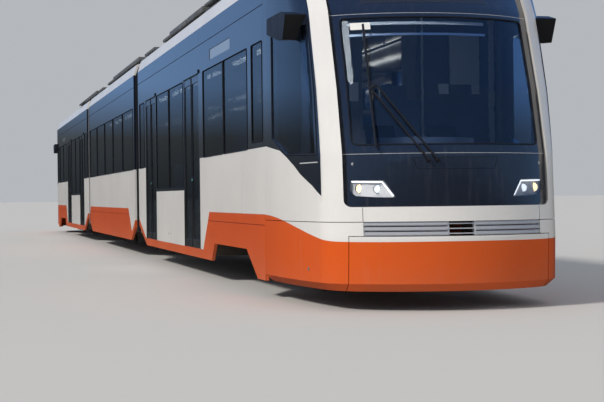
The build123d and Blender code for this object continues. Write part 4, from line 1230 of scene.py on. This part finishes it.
doorTrim = {
    "openings": ((6.55, 7.95), (10.90, 12.25)),  # distances behind the nose
    "low": 0.372,
    "high": 2.604,
    "leafFace": 1.269,
    "seal": ((-0.014, 1.262), (-0.014, 1.271), (-0.009, 1.2765), (-0.003, 1.2765), (0, 1.271),
             (0.003, 1.2765), (0.009, 1.2765), (0.014, 1.271), (0.014, 1.262)),
    "jambInside": 0.05,
    "jambHalf": 0.008,
    "jambY": (1.262, 1.2745),
    "threshold": (1.175, 1.262, 0.353, 0.3665),  # y from and to, z from and to
    "thresholdInside": 0.06,
    "ribs": 9,
    "groove": 0.0015,
    "buttonHeight": 1.26,
    "buttonAway": 0.032,
    "buttonRadius": 0.024,
    # columns: along y, share of the radius
    "buttonRing": ((-0.004, 0.62), (-0.004, 1), (0.003, 1), (0.0055, 0.92), (0.0055, 0.7), (0.002, 0.62)),
    "buttonKnob": ((-0.004, 0), (-0.004, 0.6), (0.002, 0.6), (0.0035, 0.4), (0.004, 0)),
}
sideDisplay = {"along": (4.305, 5.705), "z": (2.708, 2.832), "y": (1.266, 1.2705)}
hatchLocks = {
    "along": (9.30, 9.55),
    "y": 1.275,
    "z": 0.50,
    "radius": 0.014,
    "shape": ((-0.006, 0), (-0.006, 1), (0.001, 1), (0.0025, 0.85), (0.001, 0.5), (0.001, 0)),
}


def thresholdProfile():
    # a flat plate whose top is cut by small grooves
    nearY, farY, bottom, top = doorTrim["threshold"]
    pitch = (farY - nearY) / doorTrim["ribs"]
    deep = top - doorTrim["groove"]
    profile = [(nearY, bottom), (farY, bottom)]
    for rib in range(doorTrim["ribs"], 0, -1):
        y = nearY + rib * pitch
        profile += [(y, top), (y - 0.6 * pitch, top), (y - 0.65 * pitch, deep), (y - 0.98 * pitch, deep)]
    return profile


def addDoorTrim():
    low, high = doorTrim["low"], doorTrim["high"]
    inside, half = doorTrim["jambInside"], doorTrim["jambHalf"]
    nearY, farY = doorTrim["jambY"]
    radius, away = doorTrim["buttonRadius"], doorTrim["buttonAway"]
    for number, (first, last) in enumerate(doorTrim["openings"]):
        middle = noseX - (first + last) / 2
        seal = shift(addOutline("seal", doorTrim["seal"], high - low, "z"), (middle, 0, low))
        fourTimes(smooth(seal, 50), f"doorSeal{number}", rubber)
        for edge, x in (("Ahead", noseX - first - inside), ("Behind", noseX - last + inside)):
            jamb = addBox("jamb", (x - half, nearY, low), (x + half, farY, high))
            fourTimes(soften(jamb, 0.003, 2), f"doorJamb{edge}{number}", rubber)
        short = doorTrim["thresholdInside"]
        step = addOutline("step", thresholdProfile(), last - first - 2 * short)
        shift(step, (noseX - last + short, 0, 0))
        fourTimes(smooth(step, 30), f"doorStep{number}", aluminium)
        for leaf, along in ((1, away), (2, -away)):
            place = (middle + along, doorTrim["leafFace"], doorTrim["buttonHeight"])
            ring = turned("ring", radius, doorTrim["buttonRing"], place, "y", 24)
            fourTimes(ring, f"buttonRing{number}{leaf}", stainless)
            knob = turned("knob", radius, doorTrim["buttonKnob"], place)
            fourTimes(knob, f"button{number}{leaf}", buttonLight)
    first, last = sideDisplay["along"]
    nearY, farY = sideDisplay["y"]
    bottom, top = sideDisplay["z"]
    screen = addBox("screen", (noseX - last, nearY, bottom), (noseX - first, farY, top))
    fourTimes(soften(screen, 0.002, 1), "sideDisplay", sideScreen)
    for index, distance in enumerate(hatchLocks["along"]):
        place = (noseX - distance, hatchLocks["y"], hatchLocks["z"])
        lock = turned("lock", hatchLocks["radius"], hatchLocks["shape"], place)
        fourTimes(lock, f"hatchLock{index}", chrome)


bandTrim = {
    # columns: first and last distance back, low edge
    "endWindows": ((2.46, 3.03, 1.59), (3.28, 4.74, 1.528), (4.78, 6.25, 1.528), (8.00, 9.40, 1.165),
                   (9.45, 10.85, 1.165), (12.40, 13.05, 1.528)),
    "middleWindows": ((-4.45, -2.70, 1.528), (-2.64, -0.90, 1.528), (-0.84, 0.84, 1.528), (0.90, 2.64, 1.528),
                      (2.70, 4.45, 1.528)),
    "top": 2.61,
    "gasketY": 1.2745,
    "gasketRadius": 0.0065,
    "jointZ": (2.9635, 2.9745),
    "jointY": (1.268, 1.2764),
    "endJoint": (2.41, 13.24),
    "middleJoint": 4.63,
}


def addBandTrim():
    top, y = bandTrim["top"], bandTrim["gasketY"]
    rows = {"car": [(noseX - last, noseX - first, low) for first, last, low in bandTrim["endWindows"]],
            "middle": bandTrim["middleWindows"]}
    joints = {"car": sorted(noseX - distance for distance in bandTrim["endJoint"]),
              "middle": (-bandTrim["middleJoint"], bandTrim["middleJoint"])}
    for key, windows in rows.items():
        parts = []
        for first, last, low in windows:
            outline = roundedCorners((0, 0), (last - first, top - low), 0.02, 3)
            path = [(first + a, y, low + b) for a, b in outline]
            parts.append(addTube("gasket", path, bandTrim["gasketRadius"], True, 1))
        first, last = joints[key]
        (nearY, farY), (lowZ, highZ) = bandTrim["jointY"], bandTrim["jointZ"]
        parts.append(soften(addBox("joint", (first, nearY, lowZ), (last, farY, highZ)), 0.002, 1))
        whole = smooth(join("bandTrim", parts), 50)
        if key == "car":
            fourTimes(whole, "bandTrim", rubber)
        else:
            other = mirrorY(whole, "middleBandTrimRight")
            whole.name = "middleBandTrimLeft"
            finishPiece(whole, rubber, "middle_car")
            finishPiece(other, rubber, "middle_car")


addBandTrim()
addDoorTrim()
print("doors ready")


# Saloon: seat cushions, ceiling lights

saloon = {
    "endRows": ((3.2, -1), (4.9, 1), (5.0, -1), (9.35, 1), (9.45, -1)),  # distance of the back, way it faces
    "endFloors": (0.88, 0.88, 0.88, 0.364, 0.364),
    "middleRows": ((-4.2, 1), (-2.5, -1), (-2.4, 1), (-0.7, -1), (0.7, 1), (2.4, -1), (2.5, 1), (4.2, -1)),
    "floor": 0.88,
    "widths": ((0.40, 0.77), (0.82, 1.19)),
    # columns: low and high corner, in x and z
    "seatPad": ((0.125, 0.455), (0.475, 0.505)),
    "backPad": ((-0.016, -0.27), (0.018, 0.27)),
    "backPlace": (0.1, 0, 0.83),
    "backLean": 5.4,
    "lights": (("front_car", 5.6, 15.9), ("middle_car", -4.3, 4.3), ("rear_car", -15.9, -5.6)),
    "lightZ": (3.288, 3.302),
    "lightY": (0.30, 0.42),
}
fabricBlue = (0.020, 0.075, 0.19, 1)


def fabricMaterial():
    # woven wool plush with a fine light fleck
    material, tree, shader = newMaterial("seatFabric", **{"Sheen Weight": 0.35, "Sheen Roughness": 0.4})
    fleck = addVoronoi(tree, objectPlace(tree), 210)
    share = addRange(tree, fleck, 0.08, 0.2, 0.7, 0)
    link(tree, addMix(tree, share, fabricBlue, (0.16, 0.24, 0.36, 1)), shader.inputs["Base Color"])
    link(tree, addRange(tree, fleck, 0, 0.5, 0.75, 0.95), shader.inputs["Roughness"])
    addBump(tree, shader, fleck, 0.3, 0.0015)
    return material


seatFabric = fabricMaterial()


def cushionPair():
    # seat and back pads of one pair, its back at x 0, facing x, floor at 0
    pads = []
    lean = Matrix.Rotation(math.radians(-saloon["backLean"]), 4, "Y")
    for near, far in saloon["widths"]:
        for key, width in (("seatPad", 0.02), ("backPad", 0.014)):
            (lowX, lowZ), (highX, highZ) = saloon[key]
            pads.append(soften(addBox("pad", (lowX, near, lowZ), (highX, far, highZ)), width, 4))
        pads[-1].data.transform(Matrix.Translation(saloon["backPlace"]) @ lean)
    return smooth(join("pair", pads), 40)


def addSaloon():
    pair = cushionPair()
    cars = {"front_car": [], "rear_car": [], "middle_car": []}
    rows = zip(saloon["endRows"], saloon["endFloors"])
    places = [("front_car", noseX - x, facing, floor) for (x, facing), floor in rows]
    places += [("middle_car", x, facing, saloon["floor"]) for x, facing in saloon["middleRows"]]
    for car, x, facing, floor in places:
        for side in (1, -1):
            matrix = Matrix.Translation((x, 0, floor)) @ Matrix.Diagonal((facing, side, 1, 1))
            cars[car].append(copyOf(pair, "cushions", matrix))
    for piece in cars["front_car"]:
        cars["rear_car"].append(copyOf(piece, "cushions", halfTurn))
    bpy.data.objects.remove(pair)
    for car, pieces in cars.items():
        finishPiece(join(car + "Cushions", pieces), seatFabric, car)
    nearY, farY = saloon["lightY"]
    lowZ, highZ = saloon["lightZ"]
    for car, first, last in saloon["lights"]:
        strips = []
        for side in (1, -1):
            edges = sorted((side * nearY, side * farY))
            strips.append(soften(addBox("light", (first, edges[0], lowZ), (last, edges[1], highZ)), 0.005, 2))
        finishPiece(join(car + "Lights", strips), saloonLight, car)


addSaloon()
print("saloon ready")


# Roof: fan guards, lid bolts, raised edges, conduits with clips

roof = {
    "height": 3.405,
    # columns: first and last distance back, half width, height, fans
    "endUnits": ((6.30, 8.30, 0.90, 0.300, 2), (8.45, 9.95, 0.90, 0.260, 0), (10.05, 11.85, 0.90, 0.260, 0),
                 (12.00, 13.05, 0.85, 0.290, 1)),
    # columns: first and last x, half width, height, fans
    "middleUnits": ((-4.30, -2.90, 0.85, 0.290, 1), (-2.50, 2.40, 0.90, 0.260, 3),
                    (2.90, 4.30, 0.85, 0.290, 1)),
    "fanPitch": 0.75,
    "guardRings": (0.060, 0.108, 0.156, 0.204, 0.248),
    "guardWire": 0.0028,
    "guardLift": 0.023,
    "boltRadius": 0.009,
    "boltHeight": 0.008,
    "boltPitch": 0.42,
    "boltInset": 0.13,
    "boltEnd": 0.1,
    "middleConduit": (-4.35, 4.35),
    "endConduit": (13.05, 2.55),  # distances behind the nose
    "conduitY": 1.035,
    "conduitRadius": 0.020,
    "conduitLift": 0.032,
    "clipPitch": 0.95,
    "clipEnd": 0.2,
    "clipHalf": (0.02, 0.034),
    "clipRise": 0.026,
    "rimTop": 3.725,
    "rimWidth": 0.045,
    "rimOut": 0.010,
    "rimDrop": 0.018,
    "rimEdge": 0.006,
    "fanSink": 0.004,
    "lidSink": 0.022,
}


def unitsOf(car):
    if car == "middle_car":
        return roof["middleUnits"]
    return [(noseX - last, noseX - first, *rest) for first, last, *rest in roof["endUnits"]]


def fanGuard():
    # rings and spokes of wire, centred on the origin
    wires = []
    angles = [math.tau * step / 28 for step in range(28)]
    for radius in roof["guardRings"]:
        ring = [(radius * math.cos(angle), radius * math.sin(angle), 0) for angle in angles]
        wires.append(addTube("wire", ring, roof["guardWire"], True, 1))
    reach = roof["guardRings"][-1] + 0.012
    for turn in range(4):
        angle = math.pi * turn / 4
        end = (reach * math.cos(angle), reach * math.sin(angle), 0.004)
        wires.append(addTube("wire", [(-end[0], -end[1], 0.004), end], roof["guardWire"], sides=1))
    return smooth(join("guard", wires), 50)


def hexBolt(radius, height):
    bolt = addRound("bolt", (0, 0, height / 2), radius, height, "z", 6)
    return soften(bolt, radius * 0.12, 1, 40)


def unitRim(first, last, half, top, fans):
    # a raised edge round the top of a unit, with a shallow lid inside it where there are no fans
    out = roof["rimOut"]
    low = (first - out, -half - out, top - roof["rimDrop"])
    rim = addBox("rim", low, (last + out, half + out, roof["rimTop"]))
    pick(rim)
    bpy.ops.object.mode_set(mode="EDIT")
    bpy.ops.mesh.select_mode(type="FACE")
    bpy.ops.mesh.select_all(action="DESELECT")
    endEdit()
    for face in rim.data.polygons:
        face.select = face.normal.z > 0.9
    bpy.ops.object.mode_set(mode="EDIT")
    bpy.ops.mesh.inset(thickness=roof["rimWidth"])
    sink = roof["rimTop"] - top + roof["fanSink"] if fans else roof["lidSink"]
    bpy.ops.transform.translate(value=(0, 0, -sink))
    endEdit()
    return soften(rim, roof["rimEdge"], 2)


def conduit(first, last, side):
    # one conduit with its clips, bent down and inwards at both ends
    y = side * roof["conduitY"]
    z = roof["height"] + roof["conduitLift"]
    bend = ((0, 0.12, roof["height"]), (0.03, 0.06, z - 0.004), (0.09, 0, z))
    path = [(first + along, y - side * inward, up) for along, inward, up in bend]
    path += [(last - along, y - side * inward, up) for along, inward, up in reversed(bend)]
    pieces = [addTube("pipe", path, roof["conduitRadius"], sides=3)]
    length = last - first - 2 * roof["clipEnd"]
    count = round(length / roof["clipPitch"])
    halfX, halfY = roof["clipHalf"]
    for index in range(count + 1):
        x = first + roof["clipEnd"] + index * length / count
        low = (x - halfX, y - halfY, roof["height"] - 0.002)
        pieces.append(soften(addBox("clip", low, (x + halfX, y + halfY, z + roof["clipRise"])), 0.006, 2))
    return pieces


def addRoof():
    guard = fanGuard()
    bolt = hexBolt(roof["boltRadius"], roof["boltHeight"])
    for car in ("front_car", "middle_car"):
        guards, bolts, pipes, rims = [], [], [], []
        for first, last, half, height, fans in unitsOf(car):
            top = roof["height"] + height
            rims.append(unitRim(first, last, half, top, fans))
            for index in range(fans):
                x = (first + last) / 2 + (index - (fans - 1) / 2) * roof["fanPitch"]
                guards.append(copyAt(guard, "guard", (x, 0, top + roof["guardLift"])))
            length = last - first - 2 * roof["boltEnd"]
            count = int(length / roof["boltPitch"]) + 1
            for index in range(count):
                x = first + roof["boltEnd"] + index * length / max(1, count - 1)
                for y in (half - roof["boltInset"], roof["boltInset"] - half):
                    bolts.append(copyAt(bolt, "bolt", (x, y, top - 0.001)))
        ends = roof["middleConduit"] if car == "middle_car" else [noseX - x for x in roof["endConduit"]]
        for side in (1, -1):
            pipes += conduit(*ends, side)
        pieces = {"FanGuards": (guards, stainless), "LidBolts": (bolts, stainless),
                  "Conduits": (pipes, greyPlastic), "UnitRims": (rims, roofUnitPaint)}
        for label, (parts, material) in pieces.items():
            whole = smooth(join(label, parts), 40)
            if car == "middle_car":
                whole.name = "middle" + label
                finishPiece(whole, material, car)
            else:
                bothEnds(whole, "roof" + label, material)
    bpy.data.objects.remove(guard)
    bpy.data.objects.remove(bolt)


addRoof()
print("roof ready")


# Pantograph: ribbed insulators, carbon strips, springs, copper links and an arrester beside it

pantograph = {
    "foot": 5.60,
    "knee": 3.70,
    "insulatorX": (-0.20, 1.80),
    "insulatorY": 0.39,
    "insulatorZ": (3.405, 3.466),
    "ribRadii": (0.062, 0.050),
    "carbon": ((-0.170, 0.170), 0.52, 3.7745, 3.7865),  # offsets, half length, low, high
    "carbonHalfWidth": 0.017,
    # from and to, y, z, coil and wire radius, turns
    "springs": ((0.10, 0.92), 0.105, 3.535, 0.026, 0.0042, 26),
    "springHook": 0.06,
    "eye": (0.075, 0.011),  # length, radius
    "bracketLow": 3.47,
    "bracketHalf": 0.03,
    "cross": (0.37, 3.465, 3.485),  # half length, low, high
    "link": (0.11, 0.125, 3.64, 0.045, 0.007),  # reach, y, z, rise, radius
    "linkBack": 0.08,
    "arrester": (3.46, 0.72, 0.045, 0.24),  # distance back, y, radius, height
}


def insulator(height, ribs, radii):
    profile = [(0, 0), (0, radii[1])]
    pitch = height / ribs
    for rib in range(ribs):
        low = rib * pitch
        profile += [(low + pitch * 0.25, radii[1]), (low + pitch * 0.40, radii[0]),
                    (low + pitch * 0.62, radii[0] * 0.98), (low + pitch * 0.85, radii[1])]
    return lathe("insulator", profile + [(height, radii[1]), (height, 0)], (0, 0, 0), "z", 28)


def addPantographDetails():
    foot = noseX - pantograph["foot"]
    low, high = pantograph["insulatorZ"]
    shape = insulator(high - low, 3, pantograph["ribRadii"])
    posts = []
    for dx in pantograph["insulatorX"]:
        for side in (1, -1):
            posts.append(copyAt(shape, "post", (foot + dx, side * pantograph["insulatorY"], low)))
    x, y, radius, height = pantograph["arrester"]
    tall = insulator(height, 8, (radius + 0.014, radius))
    posts.append(shift(tall, (noseX - x, y, roof["height"])))
    bpy.data.objects.remove(shape)
    finishPiece(smooth(join("pantographInsulators", posts), 35), ceramic, "front_car")
    profile = ((0, 0), (0, radius + 0.004), (0.018, radius + 0.004), (0.026, 0.012), (0.05, 0.010),
               (0.055, 0.006), (0.056, 0))
    cap = lathe("arresterCap", profile, (noseX - x, y, roof["height"] + height), "z", 24)
    finishPiece(cap, aluminium, "front_car")

    offsets, half, bottom, top = pantograph["carbon"]
    strips = []
    width = pantograph["carbonHalfWidth"]
    for offset in offsets:
        x = foot + offset
        strip = addBox("strip", (x - width, -half, bottom), (x + width, half, top))
        strips.append(soften(strip, 0.004, 2))
    finishPiece(join("carbonStrips", strips), blackPlastic, "pantograph_head")

    (first, last), y, z, coil, wire, turns = pantograph["springs"]
    springs = []
    steps = turns * 10
    hook = pantograph["springHook"]
    long, thick = pantograph["eye"]
    bracketLow, bracketHalf = pantograph["bracketLow"], pantograph["bracketHalf"]
    farX = foot + last
    for side in (1, -1):
        points = []
        for step in range(steps + 1):
            angle = math.tau * step / 10
            x = foot + first + hook + (last - first - 2 * hook) * step / steps
            points.append((x, side * y + coil * math.cos(angle), z + coil * math.sin(angle)))
        springs.append(addTube("spring", points, wire, sides=1))
        for start in (first, last - long):
            springs.append(addRound("eye", (foot + start + long / 2, side * y, z), thick, long, "x", 16))
        low = (farX - 0.01, side * y - bracketHalf, bracketLow)
        bracket = addBox("bracket", low, (farX + 0.02, side * y + bracketHalf, z + 0.02))
        springs.append(soften(bracket, 0.004, 2))
    half, bottom, top = pantograph["cross"]
    cross = addBox("cross", (farX - 0.01, -half, bottom), (farX + 0.03, half, top))
    springs.append(soften(cross, 0.004, 2))
    finishPiece(smooth(join("pantographSprings", springs), 45), stainless, "front_car")

    start = noseX - pantograph["knee"] - pantograph["linkBack"]
    reach, y, z, rise, radius = pantograph["link"]
    links = []
    for side in (1, -1):
        path = []
        for step in range(9):
            angle = math.pi * step / 8
            path.append((start + reach * (1 - math.cos(angle)) / 2, side * y, z + rise * math.sin(angle)))
        links.append(addTube("link", path, radius, sides=2))
    finishPiece(smooth(join("copperLinks", links), 45), copper, "pantograph_upper_arm")


addPantographDetails()
print("pantograph ready")


# Bogies: axle box covers, rubber springs, motor ribs, sand pipes, wheel bolts and rubber rings

bogie = {
    "centres": {"front": 14.285, "middle_front": 2.90, "middle_rear": -2.90, "rear": -14.285},
    "halfBase": 0.90,
    "axleZ": 0.388,
    "boltHeight": 0.009,
    "boxFace": 0.905,
    "coverFace": 0.914,
    # columns: along y, radius
    "cover": ((-0.002, 0), (-0.002, 0.086), (0.007, 0.086), (0.010, 0.082), (0.010, 0.0473),
              (0.018, 0.04128), (0.018, 0)),
    "coverBolts": (6, 0.066, 0.0085),  # number, circle, radius
    "springY": 0.82,
    "springZ": (0.494, 0.559),
    "springRadii": (0.088, 0.077),
    "motor": (0.470, 0.450, 0.151, 0.158, 0.26),  # x, z, inner and rib radius, half length
    "sandPipe": ((1.10, 0.80, 0.60), (1.20, 0.74, 0.52), (1.31, 0.60, 0.34), (1.345, 0.545, 0.20),
                 (1.350, 0.535, 0.085)),
    "sandPipeRadius": 0.015,
    "hubFace": 0.5775,
    "hubBolts": (8, 0.110, 0.008),
    "webFace": 0.5425,
    "webBolts": (12, 0.262, 0.009),
    "ring": ((0.5385, 0.272), (0.5385, 0.294), (0.546, 0.292), (0.549, 0.286), (0.549, 0.279),
             (0.546, 0.273)),
}


def boltCircle(count, circle, radius, face, place, side):
    # bolts on a face that looks along y
    x, z = place
    y = side * (face - 0.001)
    bolts = []
    for index in range(count):
        angle = math.tau * (index + 0.5) / count
        bolt = hexBolt(radius, bogie["boltHeight"])
        bolt.data.transform(Matrix.Rotation(-side * math.pi / 2, 4, "X"))
        bolts.append(shift(bolt, (x + circle * math.cos(angle), y, z + circle * math.sin(angle))))
    return bolts


def makeBogieTrim():
    z = bogie["axleZ"]
    steel, black = [], []
    low, high = bogie["springZ"]
    wide, narrow = bogie["springRadii"]
    pitch = (high - low) / 3
    spring = [(0, 0), (0, narrow)]
    for layer in range(3):
        base = layer * pitch
        spring += [(base + pitch * 0.2, wide), (base + pitch * 0.8, wide), (base + pitch, narrow)]
    spring.append((high - low, 0))
    for end in (1, -1):
        x = end * bogie["halfBase"]
        for side in (1, -1):
            cover = lathe("cover", bogie["cover"], (0, 0, 0), "y", 28)
            steel.append(setOnSide(cover, (x, side * bogie["boxFace"], z), side))
            steel += boltCircle(*bogie["coverBolts"], bogie["coverFace"], (x, z), side)
            black.append(lathe("spring", spring, (x, side * bogie["springY"], low), "z", 28))
            path = [(end * px, side * py, pz) for px, py, pz in bogie["sandPipe"]]
            black.append(addTube("pipe", path, bogie["sandPipeRadius"], sides=2))
        motorX, motorZ, inner, rib, half = bogie["motor"]
        profile = [(-half, 0), (-half, inner)]
        for step in range(9):
            y = -half + 0.02 + step * (2 * half - 0.04) / 8
            profile += [(y - 0.009, inner), (y - 0.006, rib), (y + 0.006, rib), (y + 0.009, inner)]
        steel.append(lathe("motor", profile + [(half, inner), (half, 0)], (end * motorX, 0, motorZ), "y", 40))
    return smooth(join("steel", steel), 35), smooth(join("black", black), 35)


def makeWheelTrim():
    z = bogie["axleZ"]
    bolts, rings = [], []
    for side in (1, -1):
        for part in ("hub", "web"):
            bolts += boltCircle(*bogie[part + "Bolts"], bogie[part + "Face"], (0, z), side)
        rings.append(setOnSide(lathe("ring", bogie["ring"], (0, 0, 0), "y", 48), (0, 0, z), side))
    return smooth(join("bolts", bolts), 35), smooth(join("rings", rings), 35)


def addRunningGear():
    steel, black = makeBogieTrim()
    bolts, rings = makeWheelTrim()
    for place, centre in bogie["centres"].items():
        body = place + "_bogie"
        at = (centre, 0, 0)
        finishPiece(copyAt(steel, body + "Metal", at), bogieSteel, body)
        finishPiece(copyAt(black, body + "Rubber", at), rubber, body)
        for number, end in ((1, 1), (2, -1)):
            wheelset = f"{body}_wheelset_{number}"
            at = (centre + end * bogie["halfBase"], 0, 0)
            finishPiece(copyAt(bolts, wheelset + "Bolts", at), stainless, wheelset)
            finishPiece(copyAt(rings, wheelset + "Rings", at), rubber, wheelset)
    for piece in (steel, black, bolts, rings):
        bpy.data.objects.remove(piece)


addRunningGear()
print("running gear ready")

print("pieces ready")
